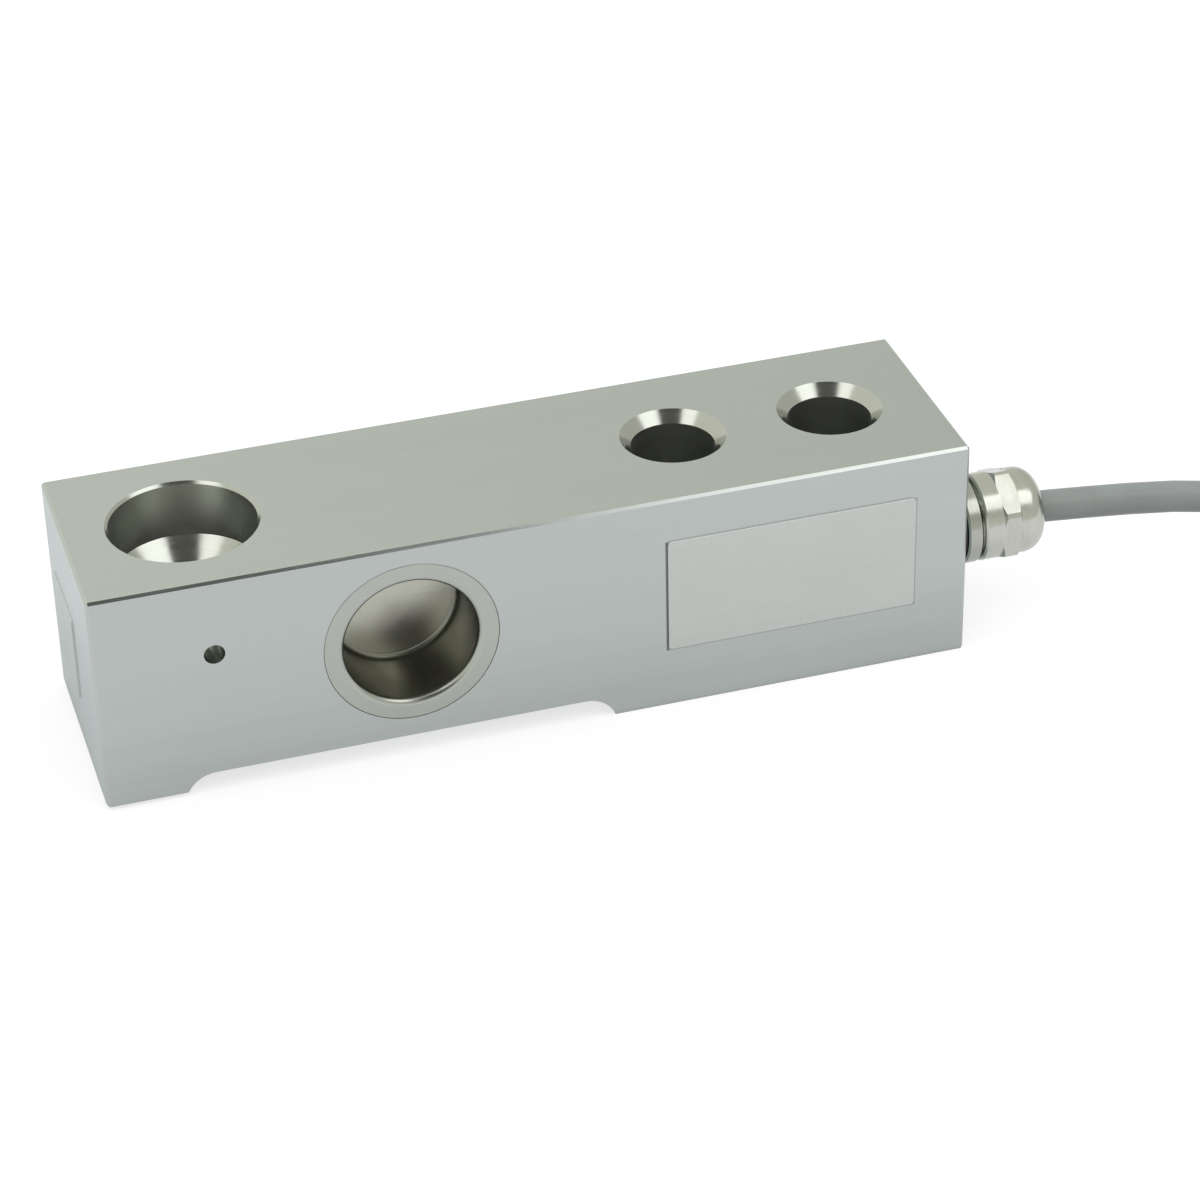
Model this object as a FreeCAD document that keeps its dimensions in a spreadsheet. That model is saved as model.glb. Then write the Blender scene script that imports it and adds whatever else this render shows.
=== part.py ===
"""Shear beam load cell: a machined steel beam with two welded gauge cups, a cable gland and a tied cable.

Millimetres. The origin is on the mounting face, midway between the two mounting holes. +X runs along the
beam to the cable end, -Y is the face with the name plate, +Z is up, against the load.
"""

import FreeCAD, Part
import math
import os

import Sketcher
from FreeCAD import Placement, Rotation, Vector

# Driving dimensions: name, value, meaning
SIZES = [
    ("beam_width", 36.0, "front face to back face"),
    ("beam_height", 36.5, "mounting face to top face"),
    ("load_end", 18.0, "load hole axis to the load end face"),
    ("load_to_bolt", 76.2, "load hole axis to the first mounting hole"),
    ("bolt_spacing", 25.4, "between the mounting holes"),
    ("bolt_end", 16.15, "second mounting hole to the cable end face"),
    ("edge_chamfer", 0.4, "broken edges of the bar"),
    ("foot_step", 0.65, "load end foot above the mounting face"),
    ("relief_height", 3.35, "relief above the mounting face"),
    ("relief_start", 12.3, "load end face to the relief"),
    ("relief_to_bolt", 15.4, "end of the relief to the first mounting hole"),
    ("relief_radius", 5.0, "cutter radius at the ends of the relief"),
    ("bolt_hole", 13.0, "mounting hole diameter"),
    ("sink_depth", 1.7, "depth of the right-angled countersinks"),
    ("seat_bore", 22.3, "load hole diameter at the top"),
    ("seat_depth", 9.2, "straight depth of the load hole"),
    ("seat_edge", 0.4, "broken edge of the load hole"),
    ("load_hole", 13.5, "through hole under the conical load seat"),
    ("cross_hole", 3.2, "cross hole diameter"),
    ("cross_drop", 12.4, "cross hole below the top face"),
    ("load_to_cup", 29.6, "load hole axis to the gauge cup axis"),
    ("web", 4.0, "shear web between the two gauge pockets"),
    ("pocket_bore", 24.8, "gauge pocket diameter"),
    ("passage", 2.5, "wire passage through the web"),
    ("cup_gap", 1.4, "room for the wires between cup and pocket"),
    ("cup_room", 2.5, "room for gauge and leads behind the cup"),
    ("cup_wall", 0.7, "sheet of the cup"),
    ("cup_dish", 0.6, "how much deeper the middle of the cup is"),
    ("cup_middle", 3.0, "flat middle of the dished bottom, across"),
    ("flange_ledge", 1.1, "flange seat beyond the pocket"),
    ("flange_sheet", 0.8, "flange thickness"),
    ("flange_seam", 0.15, "bevel of the weld seam round the flange"),
    ("cup_lip", 1.0, "rounding at the mouth of the cup"),
    ("cup_corner", 0.9, "inside rounding at the bottom of the cup"),
    ("plate_length", 39.65, "name plate, along the beam"),
    ("plate_height", 18.95, "name plate, upright"),
    ("plate_sheet", 0.35, "name plate thickness"),
    ("end_plate_sheet", 0.25, "thickness of the plate on the load end face"),
    ("plate_corner", 0.6, "corner radius of both plates"),
    ("plate_shift", 0.33, "name plate centre past the middle of the mounting holes"),
    ("plate_lift", 1.475, "name plate centre above half height"),
    ("end_plate_width", 15.0, "plate on the load end face, across"),
    ("end_plate_height", 14.0, "plate on the load end face, upright"),
    ("end_plate_shift", 6.2, "its centre behind the middle plane"),
    ("end_plate_drop", 1.85, "its centre below half height"),
    ("bore_wall", 1.9, "wall between the wire bore and the mounting holes"),
    ("gland_rise", 18.85, "gland axis above the mounting face"),
    ("gland_thread", 10.0, "gland thread diameter"),
    ("gland_screwed", 7.5, "length of thread in the beam"),
    ("gland_run_out", 0.5, "thread bore deeper than the thread"),
    ("wire_clearance", 0.2, "outer bridge wires to their bore"),
    ("seal_gap", 0.8, "face seal between beam and collar"),
    ("seal_inset", 0.45, "face seal inside the collar's edge"),
    ("collar_ledge", 1.35, "collar beyond the nut's thread, on the radius"),
    ("collar_length", 2.4, "gland collar"),
    ("collar_edge", 0.3, "broken edges of the gland"),
    ("nut_gap", 0.5, "gap between collar and nut"),
    ("nut_length", 10.6, "dome nut"),
    ("body_wall", 1.5, "gland body round the rubber insert"),
    ("nut_thread_length", 5.0, "thread of the body under the nut"),
    ("hex_proud", 0.6, "hexagon's turned corners beyond the nut's skirt, on the radius"),
    ("flat_cut", 0.8, "depth of the flats inside the turned corners"),
    ("nut_skirt", 2.95, "round skirt in front of the hexagon"),
    ("nut_hex", 3.0, "hexagon along the axis"),
    ("dome_inset", 0.1, "foot of the dome inside the skirt, on the radius"),
    ("nut_dome", 3.2, "dome radius of the nut"),
    ("outlet_clearance", 0.3, "cable to the nut's outlet, on the radius"),
    ("insert_wall", 1.5, "rubber insert round the cable"),
    ("insert_seat", 0.8, "collar to the insert's conical seat"),
    ("insert_proud", 2.1, "insert past the end of the body"),
    ("claw_rim", 0.6, "rim of the claw on the body"),
    ("claw_taper", 1.0, "cone of the claw"),
    ("claw_gap", 0.1, "claw to the nut's thread, on the radius"),
    ("claw_slot", 0.8, "slots of the claw"),
    ("cone_length", 2.4, "cone inside the nut"),
    ("gland_clearance", 0.2, "cable to the gland's own bore, on the radius"),
    ("cable", 5.0, "cable diameter"),
    ("jacket_back", 2.5, "cable jacket stops this far before the inner end of the gland"),
    ("wire", 0.8, "bridge wire diameter"),
    ("wire_gap", 0.2, "between bridge wires"),
    ("wire_bend", 1.6, "bend of a bridge wire behind the cup"),
    ("potting_length", 10.0, "potted stretch of the wire bore"),
    ("board_sheet", 0.8, "terminal board thickness"),
    ("board_inside", 15.2, "terminal board inside diameter"),
    ("board_clearance", 0.2, "board to the pocket wall, on the radius"),
    ("gauge_side", 8.0, "gauge carrier, square"),
    ("gauge_film", 0.12, "gauge carrier thickness"),
    ("grid_length", 3.4, "gauge grid along its wires"),
    ("grid_width", 2.0, "gauge grid across its wires"),
    ("tab_side", 0.9, "gauge solder tab"),
    ("lead_fine", 0.3, "gauge lead diameter"),
    ("resistor_length", 2.0, "compensation resistor"),
    ("resistor_width", 1.25, "compensation resistor"),
    ("resistor_height", 0.5, "compensation resistor"),
    ("hank_length", 117.2, "put-away hank, overall"),
    ("hank_width", 45.2, "hank across its end loops"),
    ("waist_gap", 1.0, "half of the gap between the runs at the tied middle"),
    ("hank_waist_length", 8.0, "straight stretch at the tied middle"),
    ("hank_layers", 6.0, "layers of cable in the hank"),
    ("hank_pitch", 5.1, "one layer of the hank"),
    ("hank_start", 110.0, "nearest point of the hank along the beam"),
    ("hank_lanes", 10.1, "width of the turns that lie side by side"),
    ("hank_underpass", 4.0, "past the loop's middle, where the outer turns leave the floor"),
    ("tie_width", 3.6, "cable tie"),
    ("tie_sheet", 1.2, "cable tie thickness"),
    ("tie_head", 6.0, "cable tie head"),
    ("sleeve_length", 12.0, "sleeve at the far end of the cable"),
    ("sleeve_end", 4.4, "sleeve diameter at its far end"),
    ("lead", 1.2, "flying lead diameter"),
    ("lead_pitch", 1.0, "leads from the sleeve's axis"),
    ("tip", 0.7, "tinned tip diameter"),
    ("tip_length", 6.0, "tinned tip"),
]

SHEET = "Sizes"
doc = FreeCAD.newDocument("shear_beam_load_cell")


class Size:
    """A length together with the spreadsheet expression that gives it."""

    def __init__(self, value, text):
        self.value = float(value)
        self.text = text

    @staticmethod
    def of(other):
        return other if isinstance(other, Size) else Size(other, repr(float(other)))

    def joined(self, other, sign, value, swap=False):
        first, second = (Size.of(other), self) if swap else (self, Size.of(other))
        return Size(value, "(" + first.text + " " + sign + " " + second.text + ")")

    def __add__(self, other):
        return self.joined(other, "+", self.value + Size.of(other).value)

    def __radd__(self, other):
        return self.joined(other, "+", Size.of(other).value + self.value, swap=True)

    def __sub__(self, other):
        return self.joined(other, "-", self.value - Size.of(other).value)

    def __rsub__(self, other):
        return self.joined(other, "-", Size.of(other).value - self.value, swap=True)

    def __mul__(self, other):
        return self.joined(other, "*", self.value * Size.of(other).value)

    def __rmul__(self, other):
        return self.joined(other, "*", Size.of(other).value * self.value, swap=True)

    def __truediv__(self, other):
        return self.joined(other, "/", self.value / Size.of(other).value)

    def __neg__(self):
        return self.joined(-1.0, "*", -self.value)

    def root(self):
        return Size(math.sqrt(self.value), "sqrt(" + self.text + ")")


def make_sheet():
    """Writes the driving dimensions to the spreadsheet and returns them by name."""
    sheet = doc.addObject("Spreadsheet::Sheet", SHEET)
    named = {}
    for row, (alias, value, meaning) in enumerate(SIZES, start=1):
        sheet.set("A" + str(row), meaning)
        sheet.set("B" + str(row), str(value))
        sheet.setAlias("B" + str(row), alias)
        named[alias] = Size(value, SHEET + "." + alias)
    doc.recompute()
    return named


s = make_sheet()

# Places that several pieces share
LEFT = -(s["load_end"] + s["load_to_bolt"] + s["bolt_spacing"] / 2)
RIGHT = s["bolt_spacing"] / 2 + s["bolt_end"]
FRONT = -s["beam_width"] / 2
BACK = s["beam_width"] / 2
TOP = s["beam_height"]
LOAD_X = LEFT + s["load_end"]
CUP_X = LOAD_X + s["load_to_cup"]
CUP_Z = (s["relief_height"] + TOP) / 2
WIRE_COUNT = 4
WIRE_PITCH = s["wire"] + s["wire_gap"]
WIRE_BORE_R = ((WIRE_COUNT - 1) * WIRE_PITCH + s["wire"]) / 2 + s["wire_clearance"]
GLAND_Y = -(s["bolt_hole"] / 2 + s["bore_wall"] + WIRE_BORE_R)
GLAND_Z = s["gland_rise"]
POCKET_R = s["pocket_bore"] / 2
FLANGE_R = POCKET_R + s["flange_ledge"]
CUP_R = POCKET_R - s["cup_gap"] - s["cup_wall"]
CUP_DEPTH = s["beam_width"] / 2 - s["web"] / 2 - s["cup_room"] - s["cup_wall"] - s["cup_dish"]
BOARD_R = POCKET_R - s["board_clearance"]
BOARD_MIDDLE = (BOARD_R + s["board_inside"] / 2) / 2
OUTSIDE = 1.0  # how far a cut runs past the surface that it opens

TOWARDS_FRONT = Rotation(Vector(1, 0, 0), 90)
TOWARDS_BACK = Rotation(Vector(1, 0, 0), -90)
TOWARDS_CABLE = Rotation(Vector(0, 1, 0), 90)
TOWARDS_LOAD = Rotation(Vector(0, 1, 0), -90)
HALF_TURN = Rotation(Vector(0, 0, 1), 180)


def number(value):
    return Size.of(value).value


def bind(thing, prop, value):
    """Sets a property from a number, or binds it to the sheet."""
    if isinstance(value, Size):
        thing.setExpression(prop, value.text)


def place(thing, at, turn=None):
    """Puts a document object at a point given by sizes."""
    thing.Placement = Placement(Vector(*[number(v) for v in at]), turn or Rotation())
    for axis, value in zip("xyz", at):
        bind(thing, "Placement.Base." + axis, value)


def new_body(label, at=(0, 0, 0), turn=None):
    body = doc.addObject("PartDesign::Body", label)
    body.Label = label
    place(body, at, turn)
    return body


def new_sketch(body, plane, offset=(0, 0, 0)):
    """Sketch on one of the body's own planes, moved by offset in the plane's own axes."""
    sketch = body.newObject("Sketcher::SketchObject", body.Label + "_sketch")
    support = [f for f in body.Origin.OriginFeatures if f.Role == plane][0]
    sketch.AttachmentSupport = [(support, "")]
    sketch.MapMode = "FlatFace"
    sketch.AttachmentOffset = Placement(Vector(*[number(v) for v in offset]), Rotation())
    for axis, value in zip("xyz", offset):
        bind(sketch, "AttachmentOffset.Base." + axis, value)
    return sketch


def fix_point(sketch, geometry, position, x, y):
    """Ties a vertex to its two coordinates."""
    for kind, axis, value in (("DistanceX", -2, x), ("DistanceY", -1, y)):
        if not isinstance(value, Size) and value == 0:
            sketch.addConstraint(Sketcher.Constraint("PointOnObject", geometry, position, axis))
            continue
        rule = Sketcher.Constraint(kind, -1, 1, geometry, position, number(value))
        index = sketch.addConstraint(rule)
        bind(sketch, "Constraints[" + str(index) + "]", value)


def fix_radius(sketch, geometry, radius):
    index = sketch.addConstraint(Sketcher.Constraint("Radius", geometry, number(radius)))
    bind(sketch, "Constraints[" + str(index) + "]", radius)


def arc_between(start, end, radius):
    """Arc of a radius, and whether it runs against the clock. A negative radius runs with the clock."""
    chord = end - start
    half = chord.Length / 2
    side = Vector(-chord.y, chord.x, 0).normalize()
    reach = math.sqrt(max(radius * radius - half * half, 0.0))
    against = radius > 0
    centre = (start + end) * 0.5 + side * (reach if against else -reach)
    first, last = (start, end) if against else (end, start)
    angles = [math.atan2(p.y - centre.y, p.x - centre.x) for p in (first, last)]
    circle = Part.Circle(centre, Vector(0, 0, 1), abs(radius))
    return Part.ArcOfCircle(circle, *angles), against


def draw_outline(sketch, points, arcs=None):
    """Closed outline. arcs gives the radius of the stretch after a point, negative with the clock."""
    arcs = arcs or {}
    base = sketch.GeometryCount
    spots = [Vector(number(x), number(y), 0) for x, y in points]
    count = len(points)
    ends = []
    for i, start in enumerate(spots):
        end = spots[(i + 1) % count]
        if i in arcs:
            curve, against = arc_between(start, end, number(arcs[i]))
            sketch.addGeometry(curve, False)
            ends.append((1, 2) if against else (2, 1))
        else:
            sketch.addGeometry(Part.LineSegment(start, end), False)
            ends.append((1, 2))
    for i in range(count):
        after = (i + 1) % count
        rule = Sketcher.Constraint("Coincident", base + i, ends[i][1], base + after, ends[after][0])
        sketch.addConstraint(rule)
    for i, (x, y) in enumerate(points):
        fix_point(sketch, base + i, ends[i][0], x, y)
    for i, radius in arcs.items():
        fix_radius(sketch, base + i, radius if number(radius) > 0 else -radius)


def draw_circle(sketch, x, y, radius):
    base = sketch.GeometryCount
    sketch.addGeometry(Part.Circle(Vector(number(x), number(y), 0), Vector(0, 0, 1), number(radius)), False)
    fix_point(sketch, base, 3, x, y)
    fix_radius(sketch, base, radius)


def draw_box(sketch, x, y, width, height):
    """Upright rectangle about a centre."""
    corners = [(x - width / 2, y - height / 2), (x + width / 2, y - height / 2)]
    corners += [(x + width / 2, y + height / 2), (x - width / 2, y + height / 2)]
    draw_outline(sketch, corners)


def feature(body, kind, sketch):
    """Adds a feature on a sketch and reports the body's volume before it."""
    doc.recompute()
    before = body.Shape.Volume if body.Tip else 0.0
    made = body.newObject("PartDesign::" + kind, body.Label + "_" + kind.lower())
    made.Profile = sketch
    return made, before


def settle(body, made, before, adds):
    """Recomputes and makes sure that the feature did something."""
    doc.recompute()
    change = body.Shape.Volume - before
    if (change > 0) != adds or abs(change) < 1e-6:
        raise ValueError(made.Name + " changed the volume by " + str(change))
    return made


def pad(body, sketch, length, reverse=False, both_ways=False):
    made, before = feature(body, "Pad", sketch)
    made.Length = number(length)
    bind(made, "Length", length)
    made.Reversed = reverse
    if both_ways:
        made.SideType = "Symmetric"
    return settle(body, made, before, True)


def pocket(body, sketch, length, reverse=False, both_ways=False):
    made, before = feature(body, "Pocket", sketch)
    made.Length = number(length)
    bind(made, "Length", length)
    made.Reversed = reverse
    if both_ways:
        made.SideType = "Symmetric"
    return settle(body, made, before, False)


def revolve(body, sketch, axis="V_Axis"):
    made, before = feature(body, "Revolution", sketch)
    made.ReferenceAxis = (sketch, [axis])
    made.Angle = 360
    return settle(body, made, before, True)


def groove(body, sketch, axis="V_Axis"):
    made, before = feature(body, "Groove", sketch)
    made.ReferenceAxis = (sketch, [axis])
    made.Angle = 360
    return settle(body, made, before, False)


def edges_where(shape, wanted):
    """Names of the edges whose two ends pass the test."""
    names = []
    for index, edge in enumerate(shape.Edges, start=1):
        if all(wanted(vertex.Point) for vertex in edge.Vertexes):
            names.append("Edge" + str(index))
    return names


def soften(body, kind, names, amount):
    """Fillet or chamfer on edges of the body's last feature."""
    tip = body.Tip
    before = body.Shape.Volume
    made = body.newObject("PartDesign::" + kind, body.Label + "_" + kind.lower())
    made.Base = (tip, names)
    prop = "Radius" if kind == "Fillet" else "Size"
    setattr(made, prop, number(amount))
    bind(made, prop, amount)
    doc.recompute()
    if abs(body.Shape.Volume - before) < 1e-6:
        raise ValueError(made.Name + " changed nothing")
    return made


def near(first, second):
    return abs(first - number(second)) < 1e-4


def make_beam():
    """The bar, its relief, load hole, mounting holes, gauge pockets, cable bore and passages."""
    body = new_body("beam_body")
    top_rise = s["relief_height"] - s["foot_step"]
    round_end = s["relief_radius"]
    start_x = LEFT + s["relief_start"]
    end_x = -s["bolt_spacing"] / 2 - s["relief_to_bolt"]
    start_run = (2 * top_rise * round_end - top_rise * top_rise).root()
    end_run = (2 * s["relief_height"] * round_end - s["relief_height"] * s["relief_height"]).root()
    side = new_sketch(body, "XZ_Plane")
    outline = [(LEFT, s["foot_step"]), (LEFT, TOP), (RIGHT, TOP), (RIGHT, 0), (end_x, 0)]
    outline += [(end_x - end_run, s["relief_height"]), (start_x + start_run, s["relief_height"])]
    outline += [(start_x, s["foot_step"])]
    draw_outline(side, outline, {4: round_end, 6: round_end})
    pad(body, side, s["beam_width"], both_ways=True)

    def on_outer_edge(p):
        return (near(p.x, LEFT) or near(p.x, RIGHT)) and (near(p.y, FRONT) or near(p.y, BACK))

    soften(body, "Chamfer", edges_where(body.Shape, on_outer_edge), s["edge_chamfer"])

    # Load hole: straight bore, conical seat, through hole
    seat = new_sketch(body, "XZ_Plane", (LOAD_X, 0, 0))
    seat_r = s["seat_bore"] / 2
    hole_r = s["load_hole"] / 2
    rim = seat_r + s["seat_edge"]
    cone_top = TOP - s["seat_depth"]
    profile = [(0, -OUTSIDE), (hole_r, -OUTSIDE), (hole_r, cone_top - (seat_r - hole_r)), (seat_r, cone_top)]
    profile += [(seat_r, TOP - s["seat_edge"]), (rim, TOP), (rim, TOP + OUTSIDE), (0, TOP + OUTSIDE)]
    draw_outline(seat, profile)
    groove(body, seat)

    # Mounting holes with their countersinks
    bolt_r = s["bolt_hole"] / 2
    sink_r = bolt_r + s["sink_depth"]
    for end in (-1, 1):
        hole = new_sketch(body, "XZ_Plane", (end * s["bolt_spacing"] / 2, 0, 0))
        profile = [(0, -OUTSIDE), (bolt_r, -OUTSIDE), (bolt_r, TOP - s["sink_depth"]), (sink_r, TOP)]
        profile += [(sink_r, TOP + OUTSIDE), (0, TOP + OUTSIDE)]
        draw_outline(hole, profile)
        groove(body, hole)

    # Cross hole through the front wall of the load hole
    cross = new_sketch(body, "XZ_Plane")
    draw_circle(cross, LOAD_X, TOP - s["cross_drop"], s["cross_hole"] / 2)
    pocket(body, cross, s["beam_width"] / 2 + OUTSIDE, reverse=True)

    # Gauge pockets from both sides, with a seat for each cup's flange
    for face in (-1, 1):
        well = new_sketch(body, "XY_Plane", (CUP_X, 0, CUP_Z))
        floor = face * s["web"] / 2
        seat_y = face * (s["beam_width"] / 2 - s["flange_sheet"])
        mouth = face * (s["beam_width"] / 2 + OUTSIDE)
        profile = [(0, floor), (POCKET_R, floor), (POCKET_R, seat_y), (FLANGE_R, seat_y), (FLANGE_R, mouth)]
        draw_outline(well, profile + [(0, mouth)])
        groove(body, well)

    # Cable bore: gland thread, then the wire bore to the front pocket, beside the mounting holes
    bore = new_sketch(body, "XY_Plane", (0, GLAND_Y, GLAND_Z))
    thread_end = RIGHT - s["gland_screwed"] - s["gland_run_out"]
    into_pocket = CUP_X + POCKET_R - s["cup_gap"]
    profile = [(into_pocket, 0), (into_pocket, WIRE_BORE_R), (thread_end, WIRE_BORE_R)]
    profile += [(thread_end, s["gland_thread"] / 2), (RIGHT + OUTSIDE, s["gland_thread"] / 2)]
    draw_outline(bore, profile + [(RIGHT + OUTSIDE, 0)])
    groove(body, bore, "H_Axis")

    # Wire passage through the web
    hole = new_sketch(body, "XZ_Plane")
    draw_circle(hole, CUP_X, CUP_Z - BOARD_MIDDLE, s["passage"] / 2)
    pocket(body, hole, s["web"] + 2 * OUTSIDE, both_ways=True)
    return body


def make_cup(label, face_y, turn):
    """Drawn cup: flat flange, rounded mouth, straight wall, rounded corner and a dished bottom."""
    body = new_body(label, (CUP_X, face_y, CUP_Z), turn)
    inner = CUP_R
    outer = inner + s["cup_wall"]
    flange = FLANGE_R
    lip = s["cup_lip"]
    corner = s["cup_corner"]
    corner_out = corner + s["cup_wall"]
    depth = CUP_DEPTH
    below = depth + s["cup_wall"]
    middle = s["cup_middle"] / 2
    flat = inner - corner
    dish = s["cup_dish"]
    run = flat - middle
    dish_r = (run * run + dish * dish) / (2 * dish)
    seam = s["flange_seam"]
    points = [(0, -(depth + dish)), (middle, -(depth + dish)), (flat, -depth)]
    points += [(inner, -(depth - corner)), (inner, -lip)]
    points += [(inner + lip, 0), (flange - seam, 0), (flange, -seam), (flange, -s["flange_sheet"])]
    points += [(outer, -s["flange_sheet"]), (outer, -(depth - corner)), (flat, -below)]
    points += [(middle, -(below + dish)), (0, -(below + dish))]
    sketch = new_sketch(body, "XZ_Plane")
    draw_outline(sketch, points, {1: dish_r, 2: corner, 4: -lip, 10: -corner_out, 11: -dish_r})
    revolve(body, sketch)
    return body


def make_plate(label, plane, at, width, height, sheet, reverse):
    """Thin plate with rounded corners on an outside face."""
    body = new_body(label, at)
    sketch = new_sketch(body, plane)
    draw_box(sketch, Size(0, "0"), Size(0, "0"), width, height)
    pad(body, sketch, sheet, reverse=reverse)
    normal = "y" if plane == "XZ_Plane" else "x"
    corners = []
    for index, edge in enumerate(body.Shape.Edges, start=1):
        first, last = [vertex.Point for vertex in edge.Vertexes]
        if abs(getattr(first, normal) - getattr(last, normal)) > number(sheet) / 2:
            corners.append("Edge" + str(index))
    soften(body, "Fillet", corners, s["plate_corner"])
    return body


def draw_slanted_box(sketch, x, y, length, width, slant):
    """Rectangle about a centre, with its length at an angle in degrees."""
    along = (math.cos(math.radians(slant)), math.sin(math.radians(slant)))
    corners = []
    for u, v in ((-0.5, -0.5), (0.5, -0.5), (0.5, 0.5), (-0.5, 0.5)):
        corner_x = x + length * (u * along[0]) - width * (v * along[1])
        corner_y = y + length * (u * along[1]) + width * (v * along[0])
        corners.append((corner_x, corner_y))
    draw_outline(sketch, corners)


TAB_PLACES = (-0.36, -0.12, 0.12, 0.36)  # solder tabs along the gauge, in shares of its side
TAB_ROW = -0.4  # solder tabs below the middle of the gauge, in shares of its side


def make_gauge(label, face_y, turn):
    """Shear gauge: a film carrier with two grids at 45 degrees and a row of solder tabs."""
    body = new_body(label, (CUP_X, face_y, CUP_Z), turn)
    side = s["gauge_side"]
    film = s["gauge_film"]
    carrier = new_sketch(body, "XZ_Plane")
    draw_box(carrier, Size(0, "0"), Size(0, "0"), side, side)
    pad(body, carrier, film)
    grids = new_sketch(body, "XZ_Plane", (0, 0, film))
    for tilt in (-1, 1):
        draw_slanted_box(grids, tilt * side * 0.22, side * 0.12, s["grid_length"], s["grid_width"], tilt * 45)
    pad(body, grids, film)
    tabs = new_sketch(body, "XZ_Plane", (0, 0, film))
    for share in TAB_PLACES:
        draw_box(tabs, side * share, side * TAB_ROW, s["tab_side"], s["tab_side"])
    pad(body, tabs, film)
    return body


def make_board():
    """Ring-shaped terminal board on the floor of the front pocket, round the gauge."""
    body = new_body("terminal_board", (CUP_X, -s["web"] / 2, CUP_Z))
    ring = new_sketch(body, "XZ_Plane")
    draw_circle(ring, 0, 0, BOARD_R)
    draw_circle(ring, 0, 0, s["board_inside"] / 2)
    draw_circle(ring, 0, -BOARD_MIDDLE, s["passage"] / 2)
    pad(body, ring, s["board_sheet"])
    return body


def board_top():
    return -(s["web"] / 2 + s["board_sheet"])


def group(label, members):
    """Several separate solids that share one node."""
    made = doc.addObject("Part::Compound", label)
    made.Label = label
    made.Links = members
    return made


RESISTOR_ANGLES = (60.0, 90.0, 120.0)


def make_resistors():
    """Compensation resistors, in an arc on the upper part of the board."""
    members = []
    for angle in RESISTOR_ANGLES:
        chip = doc.addObject("Part::Box", "resistor")
        chip.Length = number(s["resistor_length"])
        chip.Width = number(s["resistor_height"])
        chip.Height = number(s["resistor_width"])
        bind(chip, "Length", s["resistor_length"])
        bind(chip, "Width", s["resistor_height"])
        bind(chip, "Height", s["resistor_width"])
        across = math.cos(math.radians(angle))
        up = math.sin(math.radians(angle))
        corner_x = CUP_X + BOARD_MIDDLE * across - s["resistor_length"] / 2
        corner_z = CUP_Z + BOARD_MIDDLE * up - s["resistor_width"] / 2
        place(chip, (corner_x, board_top() - s["resistor_height"], corner_z))
        members.append(chip)
    return group("compensation_resistors", members)


def make_turned(label, points, arcs=None):
    """Round gland piece: points are radius and distance out of the beam's end face."""
    body = new_body(label, (RIGHT, GLAND_Y, GLAND_Z), TOWARDS_CABLE)
    sketch = new_sketch(body, "XZ_Plane")
    draw_outline(sketch, points, arcs)
    revolve(body, sketch)
    return body


# Places along the gland, out of the beam's end face
COLLAR_START = s["seal_gap"]
COLLAR_END = COLLAR_START + s["collar_length"]
NUT_START = COLLAR_END + s["nut_gap"]
NUT_END = NUT_START + s["nut_length"]
THREAD_TIP = COLLAR_END + s["nut_thread_length"]
BORE_R = s["cable"] / 2 + s["gland_clearance"]
INSERT_R = s["cable"] / 2 + s["insert_wall"]
NUT_THREAD_R = INSERT_R + s["body_wall"]
NUT_R = NUT_THREAD_R + s["collar_ledge"]
HEX_R = NUT_R + s["hex_proud"]
DOME_R = NUT_R - s["dome_inset"]
HEX_START = NUT_START + s["nut_skirt"]
HEX_END = HEX_START + s["nut_hex"]
HEX_SLOPE = 0.6  # length of the turned corners' cones for each unit of their radius
HEX_TURN = 4.0  # how far the tightened nut stands from flats towards the front, in degrees
SEAT_START = COLLAR_END + s["insert_seat"]
SEAT_END = SEAT_START + INSERT_R - BORE_R
INSERT_END = THREAD_TIP + s["insert_proud"]
CONE_START = THREAD_TIP + s["claw_rim"]
CONE_SLOPE = 0.9  # radius lost along the nut's cone
CONE_END = CONE_START + s["cone_length"]
CLAW_END = CONE_START + s["claw_taper"]


def make_gland_body():
    thread_r = s["gland_thread"] / 2
    edge = s["collar_edge"]
    points = [(BORE_R, -s["gland_screwed"]), (thread_r - 2 * edge, -s["gland_screwed"])]
    points += [(thread_r, 2 * edge - s["gland_screwed"]), (thread_r, COLLAR_START)]
    points += [(NUT_R - edge, COLLAR_START), (NUT_R, COLLAR_START + edge), (NUT_R, COLLAR_END - edge)]
    points += [(NUT_R - edge, COLLAR_END), (NUT_THREAD_R, COLLAR_END), (NUT_THREAD_R, THREAD_TIP)]
    points += [(INSERT_R, THREAD_TIP), (INSERT_R, SEAT_END), (BORE_R, SEAT_START)]
    return make_turned("gland_body", points)


def make_gland_seal():
    """Rubber ring squeezed between the collar and the beam."""
    inner = s["gland_thread"] / 2
    outer = NUT_R - s["seal_inset"]
    gap = s["seal_gap"]
    bulge = gap * 0.3
    points = [(inner, 0), (outer - bulge, 0), (outer, gap / 2), (outer - bulge, gap), (inner, gap)]
    bulge_r = (gap * gap / 4 + bulge * bulge) / (2 * bulge)
    return make_turned("gland_seal", points, {1: bulge_r, 2: bulge_r})


def make_gland_insert():
    """Rubber bush that the nut squeezes onto the cable."""
    cable_r = s["cable"] / 2
    edge = 2 * s["collar_edge"]
    points = [(cable_r, SEAT_START), (BORE_R, SEAT_START), (INSERT_R, SEAT_END)]
    points += [(INSERT_R, INSERT_END - edge), (INSERT_R - edge, INSERT_END), (cable_r, INSERT_END)]
    return make_turned("gland_insert", points)


CLAW_SLOTS = 6


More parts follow.
